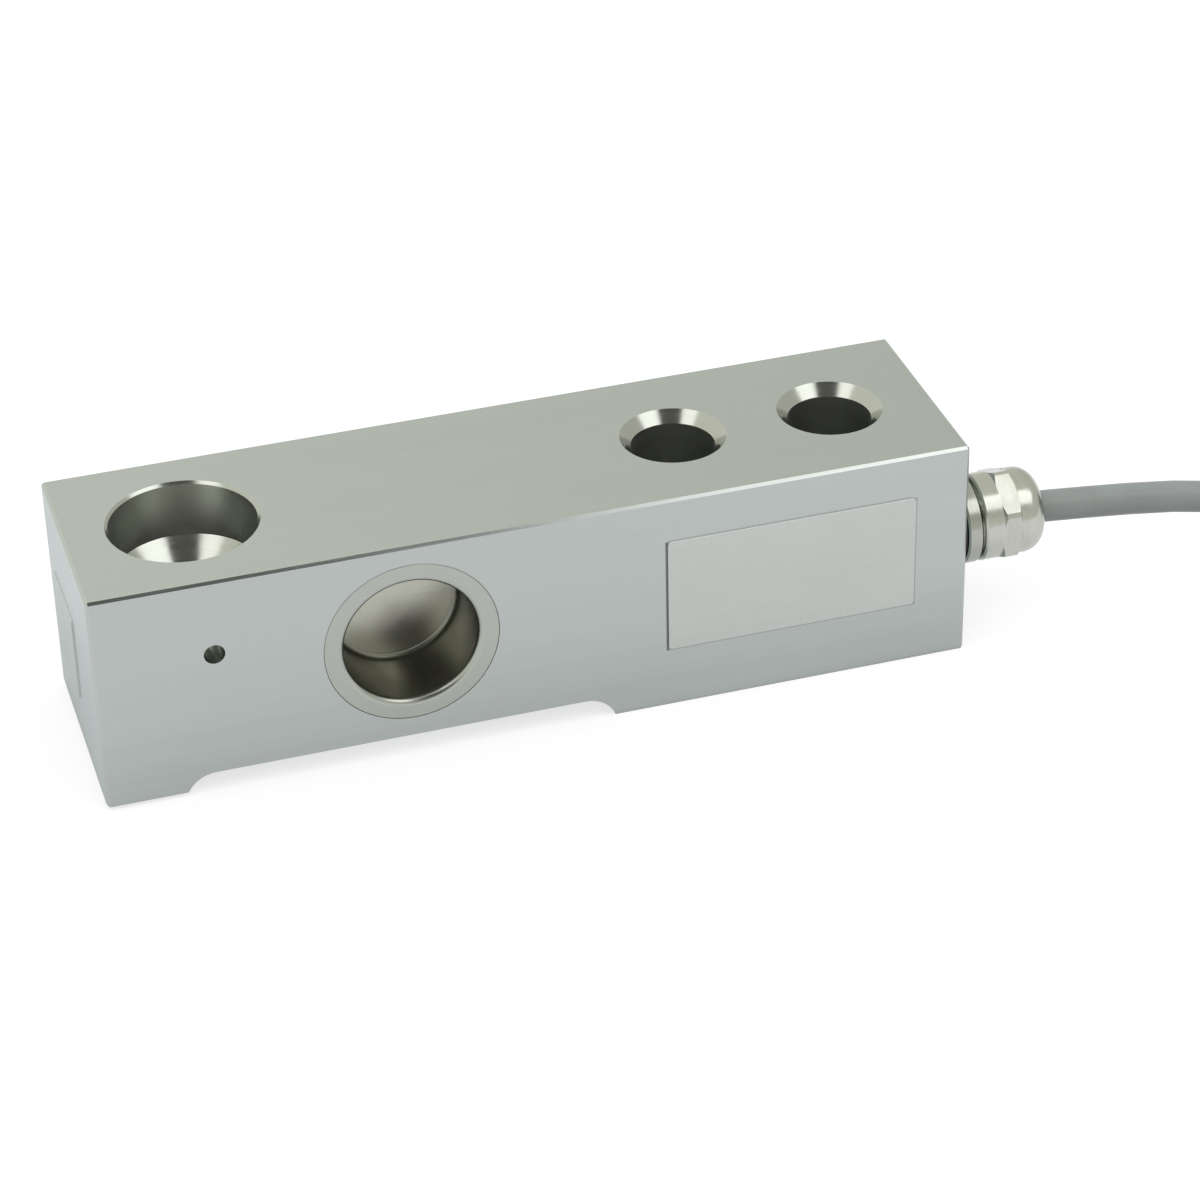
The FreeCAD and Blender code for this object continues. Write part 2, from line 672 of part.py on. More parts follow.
def make_gland_claw():
    """Slotted ring between the bush and the nut's cone."""
    outer = NUT_THREAD_R - s["claw_gap"]
    tip = NUT_THREAD_R - CONE_SLOPE * (CLAW_END - CONE_START)
    points = [(INSERT_R, THREAD_TIP), (outer, THREAD_TIP), (outer, CONE_START + s["claw_gap"] / CONE_SLOPE)]
    points += [(tip, CLAW_END), (INSERT_R, CLAW_END)]
    body = make_turned("gland_claw", points)
    slots = new_sketch(body, "XY_Plane", (0, 0, THREAD_TIP + s["claw_rim"]))
    for k in range(CLAW_SLOTS):
        turn = 360.0 * k / CLAW_SLOTS
        middle = (INSERT_R + outer) / 2
        spot = (middle * math.cos(math.radians(turn)), middle * math.sin(math.radians(turn)))
        draw_slanted_box(slots, spot[0], spot[1], outer - INSERT_R + OUTSIDE, s["claw_slot"], turn)
    pocket(body, slots, s["nut_length"], reverse=True)
    return body


def make_gland_nut():
    """Dome nut: round skirt, hexagon with turned corners, dome with the cable outlet."""
    edge = s["collar_edge"]
    dome = s["nut_dome"]
    outlet = s["cable"] / 2 + s["outlet_clearance"]
    cone_tip = NUT_THREAD_R - CONE_SLOPE * (CONE_END - CONE_START)
    points = [(NUT_THREAD_R, NUT_START), (NUT_R - edge, NUT_START), (NUT_R, NUT_START + edge)]
    points += [(NUT_R, HEX_START), (HEX_R, HEX_START + HEX_SLOPE * (HEX_R - NUT_R))]
    points += [(HEX_R, HEX_END - HEX_SLOPE * (HEX_R - DOME_R)), (DOME_R, HEX_END)]
    points += [(DOME_R, NUT_END - dome), (DOME_R - dome, NUT_END), (outlet, NUT_END), (outlet, CONE_END)]
    points += [(cone_tip, CONE_END), (NUT_THREAD_R, CONE_START)]
    body = make_turned("gland_nut", points, {7: dome})
    flats = new_sketch(body, "XY_Plane", (0, 0, HEX_START))
    corner = (HEX_R - s["flat_cut"]) / math.cos(math.radians(30))
    hexagon = []
    for k in range(6):
        turn = math.radians(60 * k + HEX_TURN)
        hexagon.append((corner * math.cos(turn), corner * math.sin(turn)))
    draw_outline(flats, hexagon)
    draw_circle(flats, 0, 0, corner + OUTSIDE)
    pocket(body, flats, s["nut_hex"], reverse=True)
    return body


def rounded_path(points, label, largest=None):
    """Straight runs joined by tangent arcs, each as large as its two runs allow."""
    edges = []
    radii = []
    start = points[0]
    for before, corner, after in zip(points, points[1:], points[2:]):
        into = corner - before
        out = after - corner
        turn = into.getAngle(out)
        if turn < 1e-6:
            continue
        radius = 0.45 * min(into.Length, out.Length) / math.tan(turn / 2)
        if largest:
            radius = min(radius, largest)
        cut = radius * math.tan(turn / 2)
        radii.append(round(radius, 1))
        first = corner - Vector(into).normalize() * cut
        last = corner + Vector(out).normalize() * cut
        inward = (Vector(out).normalize() - Vector(into).normalize()).normalize()
        centre = corner + inward * (radius / math.cos(turn / 2))
        middle = centre - inward * radius
        edges.append(Part.LineSegment(start, first).toShape())
        edges.append(Part.Arc(first, middle, last).toShape())
        start = last
    edges.append(Part.LineSegment(start, points[-1]).toShape())
    print(label, "bend radii", radii)
    return Part.Wire(edges)


def tube_solid(points, diameter, label, largest=None):
    """Round solid along a rounded path, with its volume compared with section times length."""
    path = rounded_path(points, label, largest)
    ring = Part.Wire([Part.makeCircle(diameter / 2, points[0], points[1] - points[0])])
    solid = path.makePipeShell([ring], True, False)
    wanted = math.pi * diameter * diameter / 4 * path.Length
    if abs(solid.Volume - wanted) > 0.01 * wanted:
        raise ValueError(label + " has volume " + str(solid.Volume) + ", not " + str(wanted))
    return solid


def plain_feature(label, shape):
    made = doc.addObject("Part::Feature", label)
    made.Label = label
    made.Shape = shape
    return made


WIRE_NAMES = ("red", "black", "green", "white")


def wire_height(index):
    """Height of one bridge wire: the four lie in an upright row in the wire bore."""
    return GLAND_Z + (index - (WIRE_COUNT - 1) / 2) * WIRE_PITCH


JACKET_END = RIGHT - s["gland_screwed"] + s["jacket_back"]


def make_wires():
    """Bridge wires from the cable's jacket along the wire bore, round behind the cup and to the board."""
    made = []
    ring_r = number(POCKET_R - s["cup_gap"] / 2)
    for index, name in enumerate(WIRE_NAMES):
        z = number(wire_height(index))
        drop = z - number(CUP_Z)
        x = number(CUP_X) + math.sqrt(ring_r * ring_r - drop * drop)
        start = Vector(number(JACKET_END), number(GLAND_Y), z)
        corner = Vector(x, number(GLAND_Y), z)
        end = Vector(x, number(board_top()), z)
        solid = tube_solid([start, corner, end], number(s["wire"]), name + " wire", number(s["wire_bend"]))
        made.append(plain_feature(name + "_wire", solid))
    return made


def make_entry_seal():
    """Potting that closes the wire bore round the four wires."""
    plug = doc.addObject("Part::Cylinder", "potting")
    plug.Radius = number(WIRE_BORE_R)
    plug.Height = number(s["potting_length"])
    bind(plug, "Radius", WIRE_BORE_R)
    bind(plug, "Height", s["potting_length"])
    thread_end = RIGHT - s["gland_screwed"] - s["gland_run_out"]
    place(plug, (thread_end - s["potting_length"], GLAND_Y, GLAND_Z), TOWARDS_CABLE)
    cores = []
    for index in range(len(WIRE_NAMES)):
        core = doc.addObject("Part::Cylinder", "wire_way")
        core.Radius = number(s["wire"] / 2)
        core.Height = number(s["potting_length"] + 2 * OUTSIDE)
        bind(core, "Radius", s["wire"] / 2)
        bind(core, "Height", s["potting_length"] + 2 * OUTSIDE)
        at = (thread_end - s["potting_length"] - OUTSIDE, GLAND_Y, wire_height(index))
        place(core, at, TOWARDS_CABLE)
        cores.append(core)
    ways = doc.addObject("Part::MultiFuse", "wire_ways")
    ways.Shapes = cores
    made = doc.addObject("Part::Cut", "entry_seal")
    made.Label = "entry_seal"
    made.Base = plug
    made.Tool = ways
    return made


def gauge_tab(share, face):
    """Top of a gauge's solder tab: the front gauge faces -Y, the back one +Y and is turned about."""
    side = s["gauge_side"]
    height = s["web"] / 2 + 2 * s["gauge_film"]
    x = number(CUP_X + side * share * (-face))
    return Vector(x, number(face * height), number(CUP_Z + side * TAB_ROW))


PAD_PLACES = (-0.55, -0.33, 0.33, 0.55)  # front leads' pads on the board, in shares of the gauge's side
LEAD_HUMP = 0.4 * number(s["cup_room"])  # how far the gauge leads stand off their tabs
LEAD_HOP = 0.6  # how far the back leads stand off the board


def make_front_leads():
    """Fine wires from the front gauge's tabs to the board."""
    solids = []
    hump = Vector(0, -LEAD_HUMP, 0)
    pad_z = number(CUP_Z - s["board_inside"] / 2 - 1.2)
    for tab_share, pad_share in zip(TAB_PLACES, PAD_PLACES):
        tab = gauge_tab(tab_share, -1)
        pad_x = number(CUP_X + s["gauge_side"] * pad_share)
        points = [tab, tab + hump, Vector(pad_x, tab.y - LEAD_HUMP, pad_z)]
        points.append(Vector(pad_x, number(board_top()), pad_z))
        solids.append(tube_solid(points, number(s["lead_fine"]), "front gauge lead"))
    return plain_feature("front_gauge_leads", Part.makeCompound(solids))


def make_back_leads():
    """Fine wires from the back gauge's tabs through the passage in the web, and over onto the board."""
    solids = []
    hump = Vector(0, LEAD_HUMP, 0)
    way_r = number(s["passage"]) / 2
    hop_y = number(board_top()) - LEAD_HOP
    for tab_share in TAB_PLACES:
        tab = gauge_tab(tab_share, 1)
        side = 1 if tab.x > number(CUP_X) else -1
        outer = abs(tab_share) > 0.2
        way_x = number(CUP_X) + side * way_r * (0.48 if outer else 0.36)
        way_z = number(CUP_Z - BOARD_MIDDLE) + way_r * (-0.36 if outer else 0.36)
        pad_x = number(CUP_X) + side * (way_r + 0.85)
        points = [tab, tab + hump, Vector(way_x, tab.y + LEAD_HUMP, way_z), Vector(way_x, hop_y, way_z)]
        points += [Vector(pad_x, hop_y, way_z), Vector(pad_x, number(board_top()), way_z)]
        solids.append(tube_solid(points, number(s["lead_fine"]), "back gauge lead"))
    return plain_feature("back_gauge_leads", Part.makeCompound(solids))


HANK_HIGH = s["hank_layers"] * s["hank_pitch"]
HANK_X = s["hank_start"] + s["hank_length"] / 2
LOOP_R = s["hank_width"] / 2
LOOP_X = s["hank_length"] / 2 - LOOP_R
WAIST_X = s["hank_waist_length"] / 2
WAIST_Y = s["hank_lanes"] + s["waist_gap"]
TIE_ROOM = s["tie_sheet"] + 0.1

LANE = s["hank_lanes"] / 2
INNER_R = LOOP_R - LANE
INNER_WAIST = WAIST_Y - LANE
EYE_R = LOOP_R - s["hank_lanes"]
STEP_HIGH = HANK_HIGH - s["hank_pitch"]  # the outer turns stop one layer lower
UNDER_X = LOOP_X + s["hank_underpass"]

# Where the cable comes in: on the floor, under the outer turns of the first loop, into the inner turns
ENTRY_X = HANK_X - LOOP_X - (INNER_R * INNER_R - EYE_R * EYE_R).root() - 0.5
ENTRY_Y = -(INNER_R + EYE_R) / 2

# The cable's fall between the gland and the floor, in shares of the way along, across and down
CABLE_FALL = [(0.5245, 0.1, 0.215), (0.776, 0.52, 0.65)]
CABLE_BEND = 3.5  # half of the bend with which the cable leaves the rubber insert
CABLE_LANDING = 14.5  # last stretch on the floor


def cable_points():
    """Points of the cable from its jacket's end inside the gland to the hank."""
    axis = (number(GLAND_Y), number(GLAND_Z))
    start = Vector(number(JACKET_END), *axis)
    free_x = number(RIGHT + INSERT_END)
    held = Vector(free_x - CABLE_BEND, *axis)
    high = Vector(free_x + CABLE_BEND, *axis)
    end = Vector(number(ENTRY_X), number(ENTRY_Y), number(s["cable"] / 2))
    low = end - Vector(CABLE_LANDING, 0, 0)
    way = low - high
    between = [high + Vector(way.x * a, way.y * b, way.z * c) for a, b, c in CABLE_FALL]
    return [start, held, high] + between + [low, end]


def make_cable_run():
    return plain_feature("cable_run", tube_solid(cable_points(), number(s["cable"]), "cable"))


def draw_bone(body, height, loop_r, waist):
    """Outline of turns with two end loops and a narrow waist, at a height above the floor."""
    bend_x = (LOOP_X + WAIST_X) / 2
    bend_y = (loop_r + waist) / 2
    run = LOOP_X - WAIST_X
    rise = loop_r - waist
    bend_r = (run * run + rise * rise) / (4 * rise)
    tip_x = LOOP_X + loop_r
    sketch = new_sketch(body, "XY_Plane", (0, 0, height))
    points = [(-WAIST_X, -waist), (WAIST_X, -waist), (bend_x, -bend_y), (LOOP_X, -loop_r), (tip_x, 0)]
    points += [(LOOP_X, loop_r), (bend_x, bend_y), (WAIST_X, waist), (-WAIST_X, waist)]
    points += [(-bend_x, bend_y), (-LOOP_X, loop_r), (-tip_x, 0), (-LOOP_X, -loop_r), (-bend_x, -bend_y)]
    half = {1: -bend_r, 2: bend_r, 3: loop_r, 4: loop_r, 5: bend_r, 6: -bend_r}
    arcs = dict(half)
    arcs.update({i + 7: radius for i, radius in half.items()})
    draw_outline(sketch, points, arcs)
    return sketch


def draw_eye(body, end):
    """Opening inside one end loop, which narrows towards the waist."""
    bend_x = (LOOP_X + WAIST_X) / 2
    gap = s["waist_gap"]
    run = LOOP_X - WAIST_X
    rise = EYE_R - gap
    bend_y = (EYE_R + gap) / 2
    bend_r = (run * run + rise * rise) / (4 * rise)
    sketch = new_sketch(body, "XY_Plane")
    points = [(end * WAIST_X, -gap), (end * bend_x, -bend_y), (end * LOOP_X, -EYE_R)]
    points += [(end * (LOOP_X + EYE_R), 0), (end * LOOP_X, EYE_R), (end * bend_x, bend_y)]
    points.append((end * WAIST_X, gap))
    bends = [-bend_r, bend_r, EYE_R, EYE_R, bend_r, -bend_r]
    draw_outline(sketch, points, {i: end * bend for i, bend in enumerate(bends)})
    return sketch


def make_hank():
    """Outer shape of the put-away cable: turns side by side in two end loops with a tied waist."""
    body = new_body("cable_hank", (HANK_X, 0, 0))
    pad(body, draw_bone(body, 0, LOOP_R, WAIST_Y), STEP_HIGH)
    pad(body, draw_bone(body, STEP_HIGH, INNER_R, INNER_WAIST), s["hank_pitch"])
    for end in (-1, 1):
        pocket(body, draw_eye(body, end), HANK_HIGH, reverse=True)
    # the outer turns of the first loop pass over the incoming cable and over the free end
    under = new_sketch(body, "XY_Plane")
    side_y = (INNER_R * INNER_R - s["hank_underpass"] * s["hank_underpass"]).root()
    far_x = LOOP_X + LOOP_R + OUTSIDE
    far_y = LOOP_R + OUTSIDE
    points = [(-UNDER_X, -far_y), (-UNDER_X, -side_y), (-LOOP_X - INNER_R, 0), (-UNDER_X, side_y)]
    points += [(-UNDER_X, far_y), (-far_x, far_y), (-far_x, -far_y)]
    draw_outline(under, points, {1: -INNER_R, 2: -INNER_R})
    pocket(body, under, s["hank_pitch"], reverse=True)
    # flat-ended entry that the cable meets
    entry = new_sketch(body, "XY_Plane")
    entry_x = ENTRY_X - HANK_X
    draw_outline(entry, [(entry_x, -INNER_R), (-LOOP_X, -INNER_R), (-LOOP_X, -EYE_R), (entry_x, -EYE_R)])
    pad(body, entry, s["hank_pitch"])
    # room for the tie under the waist
    notch = new_sketch(body, "XY_Plane")
    draw_box(notch, Size(0, "0"), Size(0, "0"), s["tie_width"] + 0.4, 2 * (WAIST_Y + OUTSIDE))
    pocket(body, notch, TIE_ROOM, reverse=True)
    return body


def make_tie():
    """Cable tie round the waist of the hank, with its head on top."""
    body = new_body("cable_tie", (HANK_X, 0, 0))
    sketch = new_sketch(body, "YZ_Plane")
    sheet = s["tie_sheet"]
    corner = sheet * math.tan(math.radians(22.5))
    bands = [(0, 0, TIE_ROOM), (sheet, corner, TIE_ROOM - sheet)]
    for out, lift, low in bands:
        right = [(WAIST_Y + out, low), (WAIST_Y + out, STEP_HIGH + lift)]
        right.append((INNER_WAIST + lift, HANK_HIGH + out))
        left = [(-y, z) for y, z in reversed(right)]
        draw_outline(sketch, right + left)
    pad(body, sketch, s["tie_width"], both_ways=True)
    head = new_sketch(body, "XY_Plane", (0, 0, HANK_HIGH + sheet))
    draw_box(head, Size(0, "0"), -INNER_WAIST / 2, s["tie_head"], s["tie_head"])
    pad(body, head, s["tie_head"] / 2)
    return body


# The free end lies on the floor, out of the last outer turn, back towards the beam
FREE_END_X = HANK_X - UNDER_X
FREE_END_Y = LOOP_R - s["cable"] / 2
FREE_END_Z = s["cable"] / 2


def make_sleeve():
    """Shrunk sleeve over the cut end of the cable."""
    body = new_body("lead_sleeve", (FREE_END_X, FREE_END_Y, FREE_END_Z), TOWARDS_LOAD)
    sketch = new_sketch(body, "XZ_Plane")
    start_r = s["cable"] / 2
    end_r = s["sleeve_end"] / 2
    length = s["sleeve_length"]
    points = [(0, 0), (start_r, 0), (start_r, length / 2), (end_r, length * 0.7), (end_r, length)]
    points.append((0, length))
    draw_outline(sketch, points)
    revolve(body, sketch)
    return body


# Flying leads: where each starts about the sleeve's axis, across and up, and how far across it ends
LEAD_FANS = {"red": (-1, 1, -8.7), "black": (-1, -1, -7.0), "green": (1, 1, -1.9), "white": (1, -1, -3.6)}
DRAIN_FAN = -5.3
LEAD_STEPS = [(3.5, 0.0, 0.0), (9.0, 0.5, 0.25), (15.5, 0.9, 1.0), (22.0, 1.0, 1.0)]  # along, across, down


def lead_points(start, end_y, floor):
    """Way of a lead from the sleeve out to its own place on the floor."""
    points = [start]
    for along, across, down in LEAD_STEPS:
        points.append(start + Vector(-along, (end_y - start.y) * across, (floor - start.z) * down))
    return points


def make_leads():
    """Four insulated leads that fan out on the floor, their tinned tips and the drain wire."""
    made = []
    tips = []
    base = Vector(number(FREE_END_X - s["sleeve_length"]), number(FREE_END_Y), number(FREE_END_Z))
    pitch = number(s["lead_pitch"])
    lead_d = number(s["lead"])
    tip_d = number(s["tip"])
    for name, (side, level, fan) in LEAD_FANS.items():
        start = base + Vector(0, side * pitch, level * pitch)
        points = lead_points(start, base.y + fan, lead_d / 2)
        made.append(plain_feature(name + "_lead", tube_solid(points, lead_d, name + " lead")))
        along = points[-1] - points[-2]
        tips.append(Part.makeCylinder(tip_d / 2, number(s["tip_length"]), points[-1], along))
    made.append(plain_feature("lead_tips", Part.makeCompound(tips)))
    points = lead_points(base, base.y + DRAIN_FAN, tip_d / 2)
    made.append(plain_feature("drain_wire", tube_solid(points, tip_d, "drain wire")))
    return made


def check_and_write(nodes):
    """Makes sure that everything was built before any file is written."""
    doc.recompute()
    for thing in doc.Objects:
        if "Invalid" in thing.State or "Error" in thing.State:
            raise ValueError(thing.Label + " failed: " + str(thing.State))
    for node in nodes:
        if node.Shape.isNull() or not node.Shape.isValid() or not node.Shape.Solids:
            raise ValueError(node.Label + " has no valid solid")
    os.makedirs("parts", exist_ok=True)
    for node in nodes:
        node.Shape.exportStep(os.path.join("parts", node.Label + ".step"))
        print(node.Label, "solids", len(node.Shape.Solids), "volume", round(node.Shape.Volume, 2))


nodes = [make_beam()]
nodes += [make_cup("front_cup", FRONT, TOWARDS_FRONT), make_cup("back_cup", BACK, TOWARDS_BACK)]
nodes.append(make_plate("name_plate", "XZ_Plane", (s["plate_shift"], FRONT, TOP / 2 + s["plate_lift"]),
                        s["plate_length"], s["plate_height"], s["plate_sheet"], False))
nodes.append(make_plate("end_plate", "YZ_Plane", (LEFT, s["end_plate_shift"], TOP / 2 - s["end_plate_drop"]),
                        s["end_plate_width"], s["end_plate_height"], s["end_plate_sheet"], True))
nodes += [make_gauge("front_gauge", -s["web"] / 2, None), make_gauge("back_gauge", s["web"] / 2, HALF_TURN)]
nodes += [make_board(), make_resistors()]
nodes += [make_gland_body(), make_gland_seal(), make_gland_insert(), make_gland_claw(), make_gland_nut()]
nodes += make_wires()
nodes.append(make_entry_seal())
nodes += [make_front_leads(), make_back_leads()]
nodes += [make_cable_run(), make_hank(), make_tie(), make_sleeve()]
nodes += make_leads()
check_and_write(nodes)
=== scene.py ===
"""Looks of a shear beam load cell with its cable: camera, cable, finishes, studio."""

import math

import bpy
from mathutils import Matrix, Vector


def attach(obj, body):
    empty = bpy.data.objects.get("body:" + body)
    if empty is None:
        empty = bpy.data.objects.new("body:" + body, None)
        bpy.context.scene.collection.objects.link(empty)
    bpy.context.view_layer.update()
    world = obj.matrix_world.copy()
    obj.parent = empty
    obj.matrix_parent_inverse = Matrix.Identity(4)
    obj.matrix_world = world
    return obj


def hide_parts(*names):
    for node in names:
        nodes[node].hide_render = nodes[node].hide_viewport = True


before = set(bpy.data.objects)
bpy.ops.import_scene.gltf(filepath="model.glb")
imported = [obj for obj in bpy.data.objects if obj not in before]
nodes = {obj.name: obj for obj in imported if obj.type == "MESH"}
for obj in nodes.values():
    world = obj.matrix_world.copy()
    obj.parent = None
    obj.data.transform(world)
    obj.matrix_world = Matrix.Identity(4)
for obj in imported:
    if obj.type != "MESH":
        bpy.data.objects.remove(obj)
scene = bpy.context.scene
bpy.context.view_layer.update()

MM = 0.001
WHITE = (1.0, 1.0, 1.0, 1.0)

# sizes of the part's source, in millimetres
CABLE_D = 5.0
GLAND_AXIS = (-10.5, 18.85)
COLLAR_END = 32.05
CUP_AXIS = (-59.3, 19.925)
CUP_BOTTOM_R = 9.3
CUP_WALL_R = 9.8
FLANGE_R = 13.5
LOAD_HOLE = (-88.9, 0.0)
LOAD_RIM_R = 11.6
BOLT_HOLES = ((-12.7, 0.0), (12.7, 0.0))
BOLT_RIM_R = 8.25
CROSS_HOLE = (-88.9, 24.1)
CROSS_R = 1.6
BEAM_ENDS = (-106.9, 28.85)
HALF_WIDTH = 18.0
NAME_PLATE = (0.33, 19.725, 39.65, 18.95)  # middle along and up, length, height

# the photograph's camera: place in metres, the picture's right, up and back in the part's frame, lens
CAMERA_PLACE = (-0.164456, -0.475149, 0.329555)
CAMERA_RIGHT = (0.9555096, -0.2942706, -0.0201543)
CAMERA_UP = (0.1761031, 0.5143305, 0.8393163)
CAMERA_BACK = (-0.2366201, -0.8055240, 0.5432697)
LENS = 113.637
SENSOR = 36.0
CLIP_NEAR = 0.01
CLIP_FAR = 50.0


def make_camera():
    """Camera at the photograph's place, which looks at the load end from its front left."""
    data = bpy.data.cameras.new("camera")
    data.sensor_width = SENSOR
    data.lens = LENS
    data.clip_start = CLIP_NEAR
    data.clip_end = CLIP_FAR
    camera = bpy.data.objects.new("camera", data)
    scene.collection.objects.link(camera)
    turn = Matrix((CAMERA_RIGHT, CAMERA_UP, CAMERA_BACK)).transposed().to_4x4()
    camera.matrix_world = Matrix.Translation(CAMERA_PLACE) @ turn
    scene.camera = camera


# route of the cable from the gland to its hank
ROUTE = [
    (23.85, -10.5, 18.85),
    (35.65, -10.5, 18.85),
    (42.65, -10.5, 18.85),
    (75.5, -10.95, 15.335),
    (91.25, -12.85, 8.22),
    (105.28, -15.025, 2.5),
    (119.78, -15.025, 2.5),
]
HANK_X = 168.6
LOOP_X = 36.0
LOOP_R = 17.575
LOOP_CORNERS = 8
LOOP_STEP = 180 / LOOP_CORNERS
LANE = 2.525
LEVELS = 6
PITCH = 5.1
FIRST_Z = 2.55
TAIL_END = (128.6, 20.1, 2.5)
# half of a run between two loops, from the tied waist outwards: distance from the waist, from the middle line
WAIST_RUN = [(0, 6.07), (6.0, 6.07), (11.7, 7.4), (17.0, 9.95), (21.5, 13.7), (26.8, 16.25), (32.5, LOOP_R)]
# corners of a lap by their number, from 0 at the front of the waist: first corner of the back run past the
# waist, of the near loop, of its stretch where a climb is complete, and of the front run back to the waist
BACK_RUN = 22
NEAR_LOOP = 28
CLIMBED = 34
FRONT_RUN = 36
# the turns rise over the tie's band at the waist, the lowest most
WAIST_LIFT = {0: 1.25, 1: 1.25, 2: 0.4, 19: 0.4, 20: 1.25, 21: 1.25, 22: 1.25, 23: 0.4, 40: 0.4, 41: 1.25}
# share of the climb to the next layer at the corners of the near loop
CLIMB = {28: 0.05, 29: 0.2, 30: 0.42, 31: 0.64, 32: 0.84, 33: 0.96}
# share of the way down to the next layer on the run after the near loop
DESCENT = {36: 0.05, 37: 0.25, 38: 0.5, 39: 0.75, 40: 0.95, 41: 1.0}
# share of the change from the inner to the outer lane on the run before the near loop
SHIFT = {22: 0.0, 23: 0.1, 24: 0.35, 25: 0.65, 26: 0.9, 27: 1.0}


def lap_corners():
    """Corners of one lap between the two lanes, from the front of the waist, counter-clockwise."""
    front = [(x, -y) for x, y in WAIST_RUN]
    radius = LOOP_R / math.cos(math.radians(LOOP_STEP / 2))
    loop = []
    for step in range(LOOP_CORNERS):
        angle = math.radians((step - (LOOP_CORNERS - 1) / 2) * LOOP_STEP)
        loop.append((LOOP_X + radius * math.cos(angle), radius * math.sin(angle)))
    back = [(x, y) for x, y in reversed(WAIST_RUN)]
    half = front + loop + back
    return half + [(-x, -y) for x, y in half[1:-1]]


def lane_corner(corners, index, out):
    """Corner of a lap moved outwards, so that lanes stay a cable's width apart on their slanted runs too."""
    here = Vector(corners[index])
    to_here = (here - Vector(corners[index - 1])).normalized()
    from_here = (Vector(corners[(index + 1) % len(corners)]) - here).normalized()
    outward = Vector((to_here.y + from_here.y, -to_here.x - from_here.x))
    outward /= 1 + to_here.dot(from_here)
    return here + outward * out


def hank_points():
    """Inner lane wound upwards, then the outer lane downwards, so that no turn crosses another."""
    corners = lap_corners()
    count = len(corners)
    points = []

    def add(index, out, level):
        spot = lane_corner(corners, index, out)
        lift = WAIST_LIFT.get(index, 0) * (1 - (level - 1) / (LEVELS - 1))
        points.append((HANK_X + spot.x, spot.y, FIRST_Z + PITCH * (level - 1) + lift))

    for index in range(FRONT_RUN, count):
        add(index, -LANE, 1)
    for lap in range(1, LEVELS + 1):
        last = lap == LEVELS
        for index in range(count):
            if last and index >= BACK_RUN:
                down = DESCENT.get(index, 0)
                add(index, LANE * (2 * SHIFT.get(index, 1) - 1), LEVELS - down)
            else:
                climb = CLIMB.get(index, 1 if index >= CLIMBED else 0)
                add(index, -LANE, lap + climb)
    for lap in range(1, LEVELS):
        level = LEVELS - lap
        last = lap == LEVELS - 1
        for index in range(NEAR_LOOP if last else count):
            add(index, LANE, level - DESCENT.get(index, 0))
    points.append(TAIL_END)
    return points


# cable tie round the hank's waist: its strap, with the middle line of its way across and up, head and tail
TIE_WIDTH = 3.6
TIE_SHEET = 1.2
STRAP_EDGE = 0.3
TIE_WAY = [(11.7, 0.7), (11.7, 25.75), (6.3, 31.2), (-6.3, 31.2), (-11.7, 25.75), (-11.7, 0.7)]
TIE_BEND = 1.6
TIE_HEAD_Y = -3.025
# each outline of the head, up its outside and down into its slot: half sizes along and across, corner, height
TIE_HEAD = [
    (2.7, 2.7, 0.5, 31.75),
    (3.0, 3.0, 0.6, 32.1),
    (3.0, 3.0, 0.6, 34.3),
    (2.6, 2.6, 0.5, 34.8),
    (2.2, 1.1, 0.3, 34.8),
    (2.0, 0.9, 0.2, 34.5),
    (2.0, 0.9, 0.2, 32.2),
]
TAIL_START = 32.3
TAIL_TEETH = 9
TAIL_SLACK = 0.1
TAIL_EDGE = 0.15
TOOTH = 0.4
TOOTH_DEPTH = 0.12
TIE_CREASE = math.radians(35)


def rounded_box(half_x, half_y, corner, steps=3):
    """Outline of a rectangle with rounded corners, counter-clockwise."""
    points = []
    for quarter, (side_x, side_y) in enumerate(((1, 1), (-1, 1), (-1, -1), (1, -1))):
        for step in range(steps + 1):
            angle = math.radians(90 * (quarter + step / steps))
            x = side_x * (half_x - corner) + corner * math.cos(angle)
            y = side_y * (half_y - corner) + corner * math.sin(angle)
            points.append((x, y))
    return points


def rounded_way(corners, bend, steps=5):
    """Points of a closed line with its corners rounded."""
    points = []
    for index, corner in enumerate(corners):
        here = Vector(corner)
        before = (Vector(corners[index - 1]) - here).normalized()
        after = (Vector(corners[(index + 1) % len(corners)]) - here).normalized()
        reach = bend / math.tan(before.angle(after) / 2)
        start, end = here + before * reach, here + after * reach
        for step in range(steps + 1):
            t = step / steps
            points.append(start * (1 - t) ** 2 + here * 2 * t * (1 - t) + end * t ** 2)
    return points


def skin(loops, ring=False):
    """Points and faces over loops of equally many points, closed to a ring or with end caps."""
    count = len(loops[0])
    points = [point for loop in loops for point in loop]
    faces = []
    for row in range(len(loops) if ring else len(loops) - 1):
        here, there = row * count, (row + 1) % len(loops) * count
        for k in range(count):
            after = (k + 1) % count
            faces.append((here + k, here + after, there + after, there + k))
    if not ring:
        faces.append(tuple(reversed(range(count))))
        faces.append(tuple(range(len(points) - count, len(points))))
    return points, faces


def strap_loops():
    """Sections of the strap along its way round the hank."""
    way = rounded_way(TIE_WAY, TIE_BEND)
    section = rounded_box(TIE_WIDTH / 2, TIE_SHEET / 2, STRAP_EDGE)
    loops = []
    for index, here in enumerate(way):
        along = (way[(index + 1) % len(way)] - way[index - 1]).normalized()
        loops.append([(HANK_X + x, here.x + out * along.y, here.y - out * along.x) for x, out in section])
    return loops


def head_loops():
    """Outlines of the head, from its foot round its rim into the slot."""
    loops = []
    for half_x, half_y, corner, z in TIE_HEAD:
        outline = rounded_box(half_x, half_y, corner)
        loops.append([(HANK_X + x, TIE_HEAD_Y + y, z) for x, y in outline])
    return loops


